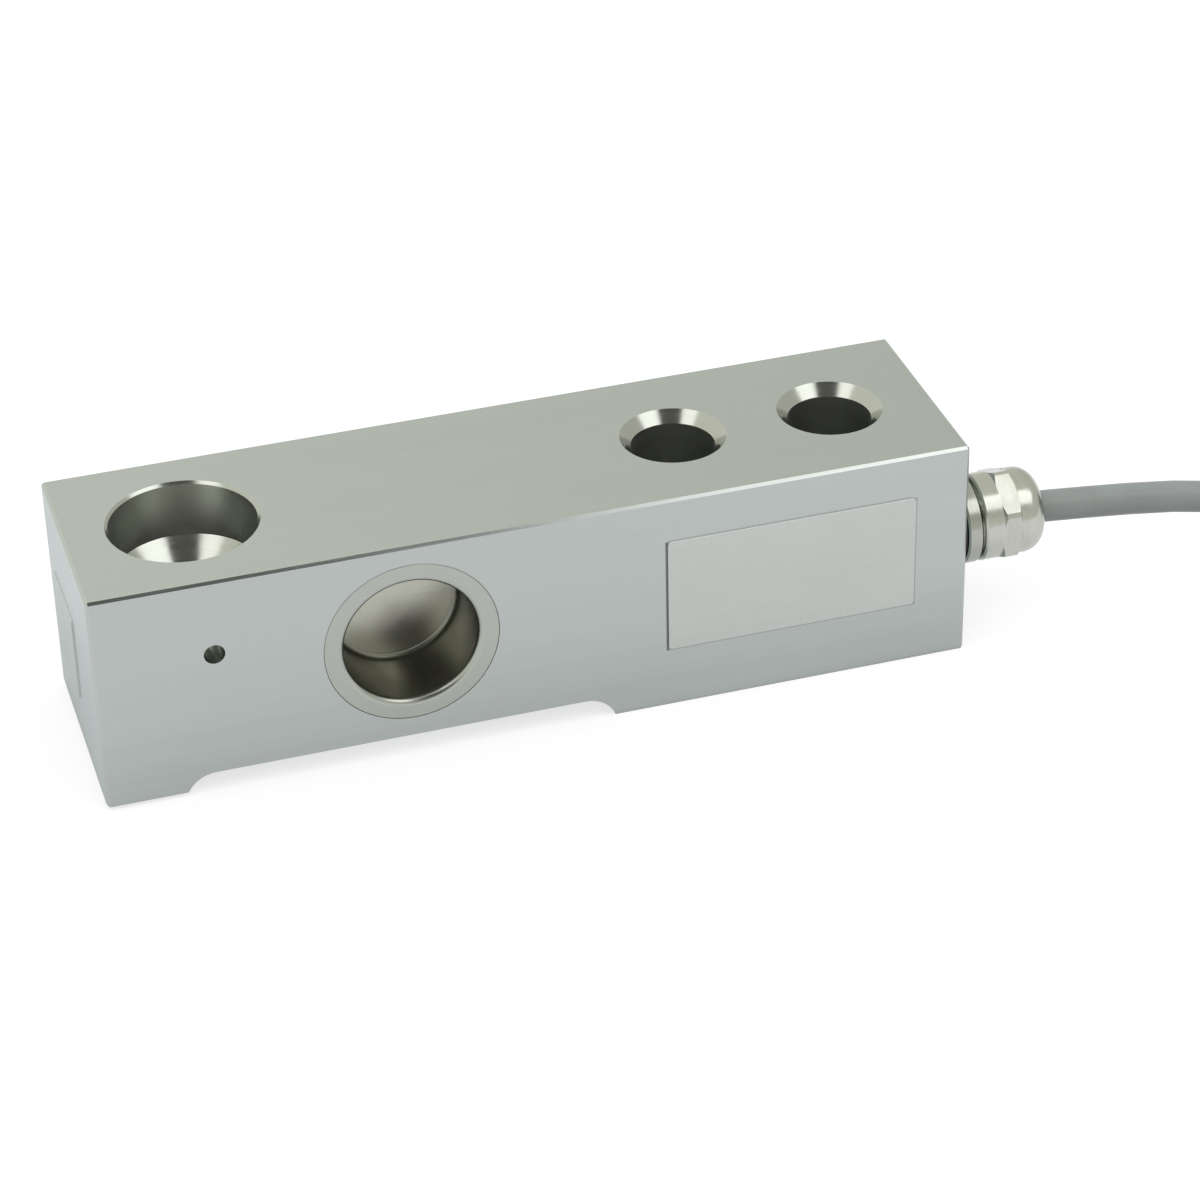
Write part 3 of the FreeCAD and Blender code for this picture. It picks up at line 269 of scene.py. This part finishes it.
def tail_loops():
    """Cut-off end of the strap that stands out of the head, with its teeth on one side."""
    loops = []
    for step in range(2 * TAIL_TEETH + 1):
        root = TOOTH_DEPTH * (step % 2)
        outline = rounded_box(TIE_WIDTH / 2 - TAIL_SLACK, TIE_SHEET / 2 - TAIL_SLACK - root / 2, TAIL_EDGE)
        z = TAIL_START + TOOTH * step / 2
        loops.append([(HANK_X + x, TIE_HEAD_Y + y - root / 2, z) for x, y in outline])
    return loops


def make_tie():
    """Cable tie with a smooth strap, a slotted head and a toothed, cut-off tail."""
    points, faces = [], []
    for loops, ring in ((strap_loops(), True), (head_loops(), False), (tail_loops(), False)):
        more, sides = skin(loops, ring)
        faces += [tuple(len(points) + corner for corner in side) for side in sides]
        points += more
    mesh = bpy.data.meshes.new("tie")
    mesh.from_pydata([(x * MM, y * MM, z * MM) for x, y, z in points], [], faces)
    mesh.polygons.foreach_set("use_smooth", [True] * len(mesh.polygons))
    mesh.set_sharp_from_angle(angle=TIE_CREASE)
    tie = bpy.data.objects.new("tie", mesh)
    scene.collection.objects.link(tie)
    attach(tie, "root")
    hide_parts("cable_tie")
    return tie


def make_cable():
    """Cable from the gland to its bare end, on one smooth line."""
    line = ROUTE + hank_points()
    curve = bpy.data.curves.new("cable", "CURVE")
    curve.dimensions = "3D"
    curve.bevel_depth = 1.0
    curve.bevel_resolution = 4
    curve.resolution_u = 4
    curve.use_fill_caps = True
    spline = curve.splines.new("NURBS")
    spline.points.add(len(line) - 1)
    for point, place in zip(spline.points, line):
        point.co = (place[0] * MM, place[1] * MM, place[2] * MM, 1)
        point.radius = CABLE_D / 2 * MM
    spline.order_u = 3
    spline.use_endpoint_u = True
    spline.use_smooth = True
    cable = bpy.data.objects.new("cable", curve)
    scene.collection.objects.link(cable)
    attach(cable, "root")
    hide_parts("cable_run", "cable_hank")
    return cable


class Nodes:
    """Short ways to put shader nodes together in one tree."""

    def __init__(self, tree):
        self.tree = tree

    def add(self, kind, **settings):
        node = self.tree.nodes.new(kind)
        for name, value in settings.items():
            setattr(node, name, value)
        return node

    def put(self, value, socket):
        """Links an output to a socket, or sets a plain number on it."""
        if isinstance(value, bpy.types.NodeSocket):
            self.tree.links.new(value, socket)
        else:
            socket.default_value = value

    def math(self, operation, first, second=0.0, third=0.0, clamp=False):
        node = self.add("ShaderNodeMath", operation=operation, use_clamp=clamp)
        for socket, value in zip(node.inputs, (first, second, third)):
            self.put(value, socket)
        return node.outputs[0]

    def span(self, value, low, high, out_low=0.0, out_high=1.0, way="SMOOTHSTEP"):
        """Smooth change from one number to another as a value goes from low to high."""
        node = self.add("ShaderNodeMapRange", interpolation_type=way)
        for socket, entry in zip(node.inputs, (value, low, high, out_low, out_high)):
            self.put(entry, socket)
        return node.outputs[0]

    def axes(self, vector):
        """The three parts of a vector."""
        node = self.add("ShaderNodeSeparateXYZ")
        self.put(vector, node.inputs[0])
        return node.outputs

    def vector(self, x, y, z):
        node = self.add("ShaderNodeCombineXYZ")
        for socket, value in zip(node.inputs, (x, y, z)):
            self.put(value, socket)
        return node.outputs[0]

    def dot(self, first, second):
        node = self.add("ShaderNodeVectorMath", operation="DOT_PRODUCT")
        self.put(first, node.inputs[0])
        self.put(second, node.inputs[1])
        return node.outputs["Value"]

    def mix(self, share, first, second):
        """A colour between two others, by a share of the second."""
        node = self.add("ShaderNodeMix", data_type="RGBA")
        self.put(share, node.inputs["Factor"])
        self.put(first, node.inputs[6])
        self.put(second, node.inputs[7])
        return node.outputs[2]

    def coat(self, colour, mask, strength, other):
        """A colour with another one over it where a mask shows, at a strength."""
        return self.mix(self.math("MULTIPLY", mask, strength), colour, other)

    def blend(self, share, first, second):
        """A number between two others, by a share of the second."""
        node = self.add("ShaderNodeMix", data_type="FLOAT")
        for socket, value in zip((node.inputs[0], node.inputs[2], node.inputs[3]), (share, first, second)):
            self.put(value, socket)
        return node.outputs[0]

    def either(self, share, first, second):
        """One of two shaders, by a share of the second."""
        node = self.add("ShaderNodeMixShader")
        for socket, value in zip(node.inputs, (share, first, second)):
            self.put(value, socket)
        return node.outputs[0]

    def light(self, kind, colour, strength):
        """A glowing surface or background of a colour and a strength."""
        node = self.add(kind)
        self.put(colour, node.inputs["Color"])
        self.put(strength, node.inputs["Strength"])
        return node.outputs[0]


# cosines of the angle between a surface and its rounded copy, on a flat and on an edge
FLAT_COS = 0.995
EDGE_COS = 0.9
EDGE_SAMPLES = 4


class Finish(Nodes):
    """A material that is put together from textures in the part's own coordinates, in metres."""

    def __init__(self, name, **fixed):
        self.material = bpy.data.materials.new(name)
        self.material.use_nodes = True
        super().__init__(self.material.node_tree)
        self.shader = self.tree.nodes["Principled BSDF"]
        for socket, value in fixed.items():
            self.shader.inputs[socket.replace("_", " ")].default_value = value
        self.place = self.add("ShaderNodeTexCoord").outputs["Object"]

    def noise(self, scale, detail=3.0, rough=0.55, vector=None, offset=(0.0, 0.0, 0.0)):
        """Noise with a number of cycles per metre along each axis."""
        mapping = self.add("ShaderNodeMapping")
        self.put(self.place if vector is None else vector, mapping.inputs["Vector"])
        mapping.inputs["Scale"].default_value = scale
        mapping.inputs["Location"].default_value = offset
        node = self.add("ShaderNodeTexNoise")
        self.put(mapping.outputs[0], node.inputs["Vector"])
        node.inputs["Scale"].default_value = 1.0
        node.inputs["Detail"].default_value = detail
        node.inputs["Roughness"].default_value = rough
        return node.outputs["Fac"]

    def bump(self, height, distance, strength=1.0):
        """Bump of a height in metres."""
        node = self.add("ShaderNodeBump")
        node.inputs["Strength"].default_value = strength
        node.inputs["Distance"].default_value = distance
        self.put(height, node.inputs["Height"])
        return node.outputs[0]

    def true_normal(self):
        return self.add("ShaderNodeNewGeometry").outputs["True Normal"]

    def facing(self):
        """Sizes of the surface direction's three parts, in the part's frame."""
        return [self.math("ABSOLUTE", part) for part in self.axes(self.true_normal())]

    def edge(self, radius):
        """Share from 0 on a flat to 1 on an edge, for worn edges and painted edge highlights."""
        bevel = self.add("ShaderNodeBevel", samples=EDGE_SAMPLES)
        bevel.inputs["Radius"].default_value = radius
        return self.span(self.dot(bevel.outputs[0], self.true_normal()), FLAT_COS, EDGE_COS)

    def from_axis(self, first, second, centre):
        """Distance in metres from a line, by the two coordinates across it."""
        one = self.math("SUBTRACT", first, centre[0] * MM)
        two = self.math("SUBTRACT", second, centre[1] * MM)
        total = self.math("ADD", self.math("MULTIPLY", one, one), self.math("MULTIPLY", two, two))
        return self.math("SQRT", total)

    def outside(self, value, middle, half):
        """Distance in metres that a coordinate lies outside a stretch, negative inside it."""
        away = self.math("ABSOLUTE", self.math("SUBTRACT", value, middle * MM))
        return self.math("SUBTRACT", away, half * MM)

    def dull(self, mask):
        """Takes the metal's shine away where a mask shows."""
        self.put(self.math("SUBTRACT", 1.0, mask), self.shader.inputs["Metallic"])

    def finish(self, colour, rough, normal):
        """The material with its colour, roughness and bumps in place."""
        for value, name in ((colour, "Base Color"), (rough, "Roughness"), (normal, "Normal")):
            self.put(value, self.shader.inputs[name])
        return self.material


def tone(colour, share):
    """A colour made lighter or darker by a share."""
    return tuple(min(1.0, part * share) for part in colour[:3]) + (1.0,)


# how far the painted shadow round the name plate reaches past its left, right, lower and upper edge, in
# millimetres
PLATE_SHADOW_REACH = (0.3, 0.32, 0.4, 0.03)
# how strongly it shows at the left edge and elsewhere
PLATE_SHADOW_LEFT = 0.75
PLATE_SHADOW_REST = 0.35


def painted_plate_shadow(steel, x, z):
    """Painted shadow: a dark line round the name plate, darkest on its left, where the plate shades the
    beam's face.
    """
    middle_x, middle_z, length, height = NAME_PLATE
    left, right = (middle_x - length / 2) * MM, (middle_x + length / 2) * MM
    low, high = (middle_z - height / 2) * MM, (middle_z + height / 2) * MM
    past = (
        steel.math("SUBTRACT", left, x),
        steel.math("SUBTRACT", x, right),
        steel.math("SUBTRACT", low, z),
        steel.math("SUBTRACT", z, high),
    )
    out = None
    for distance, width in zip(past, PLATE_SHADOW_REACH):
        share = steel.math("DIVIDE", distance, width * MM)
        out = share if out is None else steel.math("MAXIMUM", out, share)
    dark = steel.span(x, left, left + PLATE_SHADOW_REACH[0] * MM, PLATE_SHADOW_LEFT, PLATE_SHADOW_REST)
    return steel.math("MULTIPLY", steel.span(out, 1.15, 0.85), dark)


def bore_mask(steel, place, facing):
    """Share from 0 on the beam's faces to 1 in the load hole, the mounting holes and the cross hole."""
    x, y, z = place
    _, side_y, side_z = facing
    fade = 0.05
    bore = None
    for centre, radius in ((LOAD_HOLE, LOAD_RIM_R), (BOLT_HOLES[0], BOLT_RIM_R), (BOLT_HOLES[1], BOLT_RIM_R)):
        inside = steel.span(steel.from_axis(x, y, centre), (radius + fade) * MM, (radius - fade) * MM)
        bore = inside if bore is None else steel.math("MAXIMUM", bore, inside)
    drilled = steel.span(steel.from_axis(x, z, CROSS_HOLE), (CROSS_R + 0.02) * MM, CROSS_R * MM)
    drilled = steel.math("MULTIPLY", drilled, steel.span(side_y, 0.98, 0.9))
    bore = steel.math("MAXIMUM", bore, drilled)
    flat_up = steel.span(side_z, 0.9, 0.98)
    return steel.math("MULTIPLY", bore, steel.math("SUBTRACT", 1.0, flat_up))


def slant_mask(steel, facing):
    """Share from 0 on upright and level faces to 1 on the cones of the holes."""
    side_x, side_y, side_z = facing
    steepest = steel.math("MAXIMUM", side_x, steel.math("MAXIMUM", side_y, side_z))
    return steel.math("MULTIPLY", steel.span(steepest, 0.85, 0.75), steel.span(side_z, 0.2, 0.5))


def beam_finish():
    """Nickel-plated steel: faces ground lengthwise, ends ground across, bores turned."""
    ground = (0.497, 0.533, 0.522, 1.0)
    # cooler tone of the end face: a painted reflection, the steel is the same as on the faces
    end_painted_tint = (0.44, 0.525, 0.525, 1.0)
    turned = (0.57, 0.56, 0.495, 1.0)
    # cones of the holes painted darker than the turned bores, as shade against their highlight
    shaded_cone = (0.45, 0.442, 0.39, 1.0)
    # lighter colour of the edges: partly wear, partly a painted edge highlight
    edge = (0.62, 0.62, 0.59, 1.0)
    # colour of the painted shadow round the name plate
    plate_shadow_colour = (0.09, 0.09, 0.08, 1.0)

    steel = Finish("beam_steel", Metallic=1.0)
    place = steel.axes(steel.place)
    x, y, z = place
    facing = steel.facing()
    bore = bore_mask(steel, place, facing)
    slant = slant_mask(steel, facing)
    edge_mask = steel.edge(0.15 * MM)
    on_end = steel.span(facing[0], 0.8, 0.95)
    on_front = steel.span(y, (0.1 - HALF_WIDTH) * MM, (0.02 - HALF_WIDTH) * MM)
    plate_shadow = steel.math("MULTIPLY", painted_plate_shadow(steel, x, z), on_front)

    long_fine = steel.noise((14, 2600, 2600), detail=4, rough=0.6)
    long_wide = steel.noise((4, 420, 420), detail=3, rough=0.6, offset=(3, 1, 7))
    cross_fine = steel.noise((2600, 20, 2600), detail=4, rough=0.6, offset=(5, 2, 4))
    cloud = steel.noise((28, 40, 40), detail=2, offset=(9, 4, 2))
    rings = steel.noise((60, 60, 3400), detail=4, rough=0.65, offset=(1, 8, 3))
    grind = steel.blend(on_end, long_fine, cross_fine)
    grain = steel.blend(bore, grind, steel.span(rings, 0.0, 1.0, 0.25, 0.75, way="LINEAR"))

    colour = steel.mix(steel.span(grain, 0.2, 0.8), tone(ground, 0.975), tone(ground, 1.025))
    colour = steel.coat(colour, steel.span(long_wide, 0.35, 0.75), 0.3, tone(ground, 0.93))
    colour = steel.coat(colour, steel.span(cloud, 0.35, 0.7), 0.35, tone(ground, 1.05))
    # end face ground across, with its painted cooler tone
    colour = steel.coat(colour, on_end, 0.6, end_painted_tint)
    # bores turned; their cones painted darker as shade
    colour = steel.coat(colour, bore, 0.5, steel.mix(slant, turned, shaded_cone))
    # edges lighter: partly wear, partly a painted edge highlight
    colour = steel.coat(colour, edge_mask, 0.5, edge)
    # painted shadow round the name plate, darkest on its left
    colour = steel.mix(plate_shadow, colour, plate_shadow_colour)

    rough = steel.span(grain, 0.15, 0.85, 0.27, 0.35)
    rough = steel.math("ADD", rough, steel.span(cloud, 0.3, 0.7, -0.02, 0.03))
    rough = steel.blend(bore, rough, steel.span(rings, 0.2, 0.8, 0.31, 0.4))
    rough = steel.blend(edge_mask, rough, 0.12)
    rough = steel.blend(slant, rough, steel.span(rings, 0.2, 0.8, 0.14, 0.2))
    return steel.finish(colour, rough, steel.bump(grain, 0.0025 * MM, 0.4))


def turned_finish(name, base, centre, low, high, depth=0.004, painted_shade_to=None):
    """Turned metal: fine rings about an axis along x, lighter edges that are partly wear and partly a painted
    highlight, and painted shade up to a given place.
    """
    metal = Finish(name, Metallic=1.0)
    along, y, z = metal.axes(metal.place)
    radius = metal.from_axis(y, z, centre)
    rings = metal.noise((2600, 2600, 1), detail=4, rough=0.65, vector=metal.vector(radius, along, 0.0))
    rings = metal.blend(metal.span(radius, 0.5 * MM, 4 * MM), 0.5, rings)
    spots = metal.noise((240, 240, 240), detail=3, offset=(2, 6, 1))
    edge_mask = metal.edge(0.25 * MM)
    colour = metal.mix(metal.span(rings, 0.2, 0.8), tone(base, 0.93), tone(base, 1.05))
    colour = metal.coat(colour, metal.span(spots, 0.4, 0.7), 0.4, tone(base, 0.92))
    # painted shade: the collar, which the nut shades, is darker than the nut
    if painted_shade_to is not None:
        dull = metal.span(along, (painted_shade_to + 0.3) * MM, (painted_shade_to + 0.1) * MM)
        colour = metal.coat(colour, dull, 0.7, tone(base, 0.7))
    # edges lighter: partly wear, partly a painted edge highlight
    colour = metal.coat(colour, edge_mask, 0.5, tone(base, 1.18))
    rough = metal.span(rings, 0.2, 0.8, low, high)
    rough = metal.math("ADD", rough, metal.span(spots, 0.35, 0.7, -0.02, 0.04))
    return metal.finish(colour, rough, metal.bump(rings, depth * MM, 0.6))


def cup_finish():
    """Drawn stainless sheet: satin flange, smoother and warmer inside, faint draw lines round the wall, which
    is painted darker as shade.
    """
    flange = (0.461, 0.486, 0.449, 1.0)
    drawn = (0.55, 0.55, 0.48, 1.0)
    weld = (0.4, 0.41, 0.39, 1.0)

    sheet = Finish("cup_steel", Metallic=1.0)
    x, y, z = sheet.axes(sheet.place)
    depth = sheet.math("SUBTRACT", HALF_WIDTH * MM, sheet.math("ABSOLUTE", y))
    radius = sheet.from_axis(x, z, CUP_AXIS)
    inside = sheet.span(depth, 0.2 * MM, 1.2 * MM)
    wall = sheet.span(radius, CUP_BOTTOM_R * MM, CUP_WALL_R * MM)
    bead = sheet.span(radius, (FLANGE_R - 0.22) * MM, (FLANGE_R - 0.12) * MM)
    edge_mask = sheet.edge(0.25 * MM)
    lines = sheet.noise((2200, 900, 1), detail=3, rough=0.6, vector=sheet.vector(radius, depth, 0.0))
    cloud = sheet.noise((120, 120, 120), detail=3, offset=(2, 6, 1))

    # the wall is the bottom's sheet at about half its tone: painted shade inside the cup
    base = sheet.mix(inside, flange, sheet.mix(wall, drawn, tone(drawn, 0.5)))
    darker = sheet.mix(inside, tone(flange, 0.94), sheet.mix(wall, tone(drawn, 0.94), tone(drawn, 0.46)))
    colour = sheet.mix(sheet.span(lines, 0.25, 0.75, 0.0, 0.6), base, darker)
    colour = sheet.coat(colour, sheet.span(cloud, 0.4, 0.7), 0.3, darker)
    colour = sheet.coat(colour, edge_mask, 0.5, tone(drawn, 1.05))
    # the weld bead in the seam is dull
    colour = sheet.mix(bead, colour, weld)
    sheet.dull(bead)

    bottom_rough = sheet.span(cloud, 0.3, 0.7, 0.17, 0.23)
    wall_rough = sheet.span(cloud, 0.3, 0.7, 0.3, 0.4)
    flange_rough = sheet.span(lines, 0.2, 0.8, 0.24, 0.34)
    rough = sheet.blend(inside, flange_rough, sheet.blend(wall, bottom_rough, wall_rough))
    return sheet.finish(colour, rough, sheet.bump(lines, 0.0008 * MM, 0.5))


def plate_finish():
    """Bare anodised aluminium with a fine blasted grain; the plate on the load end gets the end face's
    painted cooler tone.
    """
    front = (0.575, 0.605, 0.585, 1.0)
    # painted tone of the plate on the load end: the same cool reflection as the end face
    end = (0.49, 0.55, 0.545, 1.0)
    sawn_edge = (0.85, 0.87, 0.85, 1.0)

    plate = Finish("plate_aluminium", Metallic=1.0)
    x, _, _ = plate.axes(plate.place)
    _, side_y, side_z = plate.facing()
    on_end = plate.span(x, (BEAM_ENDS[0] + 0.1) * MM, (BEAM_ENDS[0] + 0.05) * MM)
    edge_mask = plate.edge(0.1 * MM)
    grain = plate.noise((5200, 5200, 5200), detail=2, rough=0.6)
    strokes = plate.noise((18, 1500, 1500), detail=3, offset=(4, 4, 1))
    cloud = plate.noise((60, 60, 60), detail=2, offset=(1, 9, 5))

    # the plate on the load end takes the painted cooler tone
    dark = plate.mix(on_end, tone(front, 0.95), tone(end, 0.95))
    light = plate.mix(on_end, tone(front, 1.05), tone(end, 1.05))
    colour = plate.mix(plate.span(grain, 0.25, 0.75), dark, light)
    colour = plate.coat(colour, plate.span(strokes, 0.3, 0.7), 0.3, tone(front, 0.94))
    colour = plate.coat(colour, edge_mask, 0.3, tone(front, 0.8))
    # the sawn upper and lower edges are dull, and the upright ones of the end plate
    sawn = plate.math("MAXIMUM", side_z, plate.math("MULTIPLY", side_y, on_end))
    sawn = plate.span(sawn, 0.4, 0.7)
    colour = plate.mix(sawn, colour, sawn_edge)
    plate.dull(sawn)

    rough = plate.span(grain, 0.2, 0.8, 0.38, 0.5)
    rough = plate.math("ADD", rough, plate.span(cloud, 0.3, 0.7, -0.03, 0.03))
    return plate.finish(colour, rough, plate.bump(grain, 0.006 * MM, 0.5))


def plastic_finish(name, base, low, high):
    """Moulded or extruded plastic: faint mottling, uneven gloss, fine surface grain."""
    plastic = Finish(name)
    grain = plastic.noise((1800, 1800, 1800), detail=3, rough=0.6)
    mottle = plastic.noise((130, 130, 130), detail=3, offset=(3, 3, 8))
    colour = plastic.mix(plastic.span(mottle, 0.3, 0.7), tone(base, 0.93), tone(base, 1.06))
    colour = plastic.coat(colour, plastic.span(grain, 0.4, 0.8), 0.25, tone(base, 0.88))
    rough = plastic.span(mottle, 0.3, 0.7, low, high)
    return plastic.finish(colour, rough, plastic.bump(grain, 0.01 * MM, 0.5))


# colour and the least and greatest roughness of each plastic
PLASTICS = {
    "gland_rubber": ((0.025, 0.025, 0.026), 0.55, 0.7),
    "claw_plastic": ((0.03, 0.03, 0.032), 0.4, 0.55),
    "cable_jacket": ((0.295, 0.322, 0.31), 0.42, 0.55),
    "tie_plastic": ((0.03, 0.03, 0.031), 0.35, 0.5),
    "sleeve_plastic": ((0.03, 0.03, 0.032), 0.4, 0.55),
    "red_insulation": ((0.55, 0.03, 0.025), 0.35, 0.45),
    "black_insulation": ((0.02, 0.02, 0.021), 0.35, 0.45),
    "green_insulation": ((0.03, 0.27, 0.08), 0.35, 0.45),
    "white_insulation": ((0.78, 0.78, 0.75), 0.35, 0.45),
    "gauge_film": ((0.55, 0.30, 0.06), 0.2, 0.3),
    "board_green": ((0.03, 0.17, 0.07), 0.3, 0.42),
    "resistor_dark": ((0.03, 0.03, 0.035), 0.3, 0.45),
    "potting": ((0.05, 0.045, 0.04), 0.3, 0.5),
}
# middle of the lead tips and of the gauge leads, across and up, in millimetres
TIPS_AXIS = (16.0, 1.0)
LEADS_AXIS = (0.0, 14.0)


def make_finishes():
    """Finish of each material slot, by its name."""
    finishes = {"beam_steel": beam_finish(), "cup_steel": cup_finish(), "plate_aluminium": plate_finish()}
    finishes["gland_nickel"] = turned_finish(
        "gland_nickel", (0.55, 0.56, 0.52), GLAND_AXIS, 0.16, 0.26, depth=0.002, painted_shade_to=COLLAR_END
    )
    finishes["tinned_copper"] = turned_finish("tinned_copper", (0.62, 0.61, 0.58), TIPS_AXIS, 0.2, 0.35)
    finishes["lead_copper"] = turned_finish("lead_copper", (0.75, 0.42, 0.26), LEADS_AXIS, 0.2, 0.32)
    for name, (base, low, high) in PLASTICS.items():
        finishes[name] = plastic_finish(name, base, low, high)
    return finishes


def dress(cable, tie):
    """Gives each solid, the cable and the tie the finish of its material slot."""
    finishes = make_finishes()
    for node in nodes.values():
        for slot in node.material_slots:
            slot.material = finishes[slot.material.name.split(".")[0]]
    cable.data.materials.append(finishes["cable_jacket"])
    tie.data.materials.append(finishes["tie_plastic"])


# dark places of the room that bright metal mirrors: the way towards each, the cosines from its middle at
# which it begins and is complete, and the light that is left in it
GAPS = [
    ((0.08, -0.6, 1.0), 0.955, 0.99, 0.12),
    ((-0.22, -0.58, 1.0), 0.955, 0.99, 0.12),
    ((-0.19, -0.82, 0.54), 0.84, 0.97, 0.05),
]
ROOM_WHITE = (1.0, 1.0, 0.89, 1.0)


def make_world():
    """White backdrop and even light from above; bright metal mirrors a white room with three dark places."""
    world = bpy.data.worlds.new("studio")
    scene.world = world
    world.use_nodes = True
    room = Nodes(world.node_tree)
    towards = room.add("ShaderNodeTexCoord").outputs["Generated"]
    side_x, _, side_z = room.axes(towards)
    # the mirrored room is dimmer on the right
    level = room.span(side_x, 0.05, 0.45, 0.96, 0.68, way="LINEAR")
    open_room = 1.0
    for place, begins, complete, left in GAPS:
        gap = room.span(room.dot(towards, Vector(place).normalized()), begins, complete, 1.0, left)
        open_room = room.math("MINIMUM", open_room, gap)
    level = room.math("MULTIPLY", level, open_room)
    mirrored = room.light("ShaderNodeBackground", ROOM_WHITE, level)
    even = room.light("ShaderNodeBackground", WHITE, room.span(side_z, -0.2, 0.9, 0.12, 1.05))
    white = room.light("ShaderNodeBackground", WHITE, 1.0)
    path = room.add("ShaderNodeLightPath").outputs
    shine = room.math("MAXIMUM", path["Is Glossy Ray"], path["Is Transmission Ray"])
    seen = room.either(path["Is Camera Ray"], room.either(shine, even, mirrored), white)
    room.put(seen, room.tree.nodes["World Output"].inputs["Surface"])


FLOOR_SIDE = 3.0
FLOOR_LOW = 0.02  # the floor lies this far below the mounting face, in millimetres
FLOOR_GREY = (0.55, 0.55, 0.55, 1.0)
SHADOW_GREY = (0.44, 0.44, 0.44, 1.0)
GLOW = 0.56
CAMERA_GLOW = 1.2


def floor_finish():
    """Pale floor: white to the camera and in the metal, with the object's own soft shadow on it, and a
    painted shadow round the beam that only the metal mirrors.
    """
    floor = Finish("floor", Roughness=0.9)
    floor.shader.inputs["Base Color"].default_value = FLOOR_GREY
    x, y, _ = floor.axes(floor.place)
    middle = (BEAM_ENDS[0] + BEAM_ENDS[1]) / 2
    past_x = floor.outside(x, middle, BEAM_ENDS[1] - middle)
    past_y = floor.outside(y, 0.0, HALF_WIDTH)
    past = floor.math("MAXIMUM", past_x, past_y)
    # painted shadow: the metal mirrors a floor that is darker under and beside the beam
    painted_shadow_under = floor.span(past, -1 * MM, 1.5 * MM, 0.45, 0.79)
    painted_shadow_beside = floor.span(past, 1.5 * MM, 30 * MM, 0.0, 0.21)
    path = floor.add("ShaderNodeLightPath").outputs
    glow_with_painted_shadow = floor.blend(path["Is Camera Ray"], floor.math("ADD", painted_shadow_under, painted_shadow_beside), CAMERA_GLOW)
    shade = floor.add("ShaderNodeBsdfDiffuse")
    shade.inputs["Color"].default_value = SHADOW_GREY
    near = floor.add("ShaderNodeAddShader")
    floor.put(shade.outputs[0], near.inputs[0])
    floor.put(floor.light("ShaderNodeEmission", WHITE, floor.math("MULTIPLY", glow_with_painted_shadow, GLOW)), near.inputs[1])
    far = floor.light("ShaderNodeEmission", WHITE, 1.0)
    reach = floor.add("ShaderNodeVectorMath", operation="LENGTH")
    floor.put(floor.place, reach.inputs[0])
    ground = floor.either(floor.span(reach.outputs["Value"], 0.25, 0.6), near.outputs[0], far)
    shine = floor.math("MAXIMUM", path["Is Glossy Ray"], path["Is Transmission Ray"])
    seen = floor.math("MAXIMUM", path["Is Camera Ray"], shine)
    surface = floor.either(seen, floor.shader.outputs[0], ground)
    # clear from below, so that the underside can be looked at
    below = floor.add("ShaderNodeNewGeometry").outputs["Backfacing"]
    surface = floor.either(below, surface, floor.add("ShaderNodeBsdfTransparent").outputs[0])
    floor.put(surface, floor.tree.nodes["Material Output"].inputs["Surface"])
    return floor.material


def make_floor():
    """Wide floor just below the mounting face."""
    mesh = bpy.data.meshes.new("floor")
    ways = ((-1, -1), (1, -1), (1, 1), (-1, 1))
    corners = [(x * FLOOR_SIDE, y * FLOOR_SIDE, -FLOOR_LOW * MM) for x, y in ways]
    mesh.from_pydata(corners, [], [(0, 1, 2, 3)])
    mesh.materials.append(floor_finish())
    floor = bpy.data.objects.new("floor", mesh)
    scene.collection.objects.link(floor)


# place, size and radiance of each softbox, in metres
LAMPS = {
    "left_box": ((-1.275, -0.5, 1.8), (0.95, 0.8), 0.9),
    "right_box": ((1.18, -1.1, 1.8), (1.44, 1.6), 1.3),
}


def make_lamp(name, place, size, radiance):
    """Softbox that hangs level and shines down."""
    data = bpy.data.lights.new(name, "AREA")
    data.shape = "RECTANGLE"
    data.size, data.size_y = size
    data.energy = radiance * math.pi * size[0] * size[1]
    lamp = bpy.data.objects.new(name, data)
    scene.collection.objects.link(lamp)
    lamp.location = place


def make_studio():
    """Room, floor and softboxes."""
    make_world()
    make_floor()
    for name, (place, size, radiance) in LAMPS.items():
        make_lamp(name, place, size, radiance)


make_camera()
tie_piece = make_tie()
cable_piece = make_cable()
dress(cable_piece, tie_piece)
make_studio()
scene.view_settings.view_transform = "Standard"
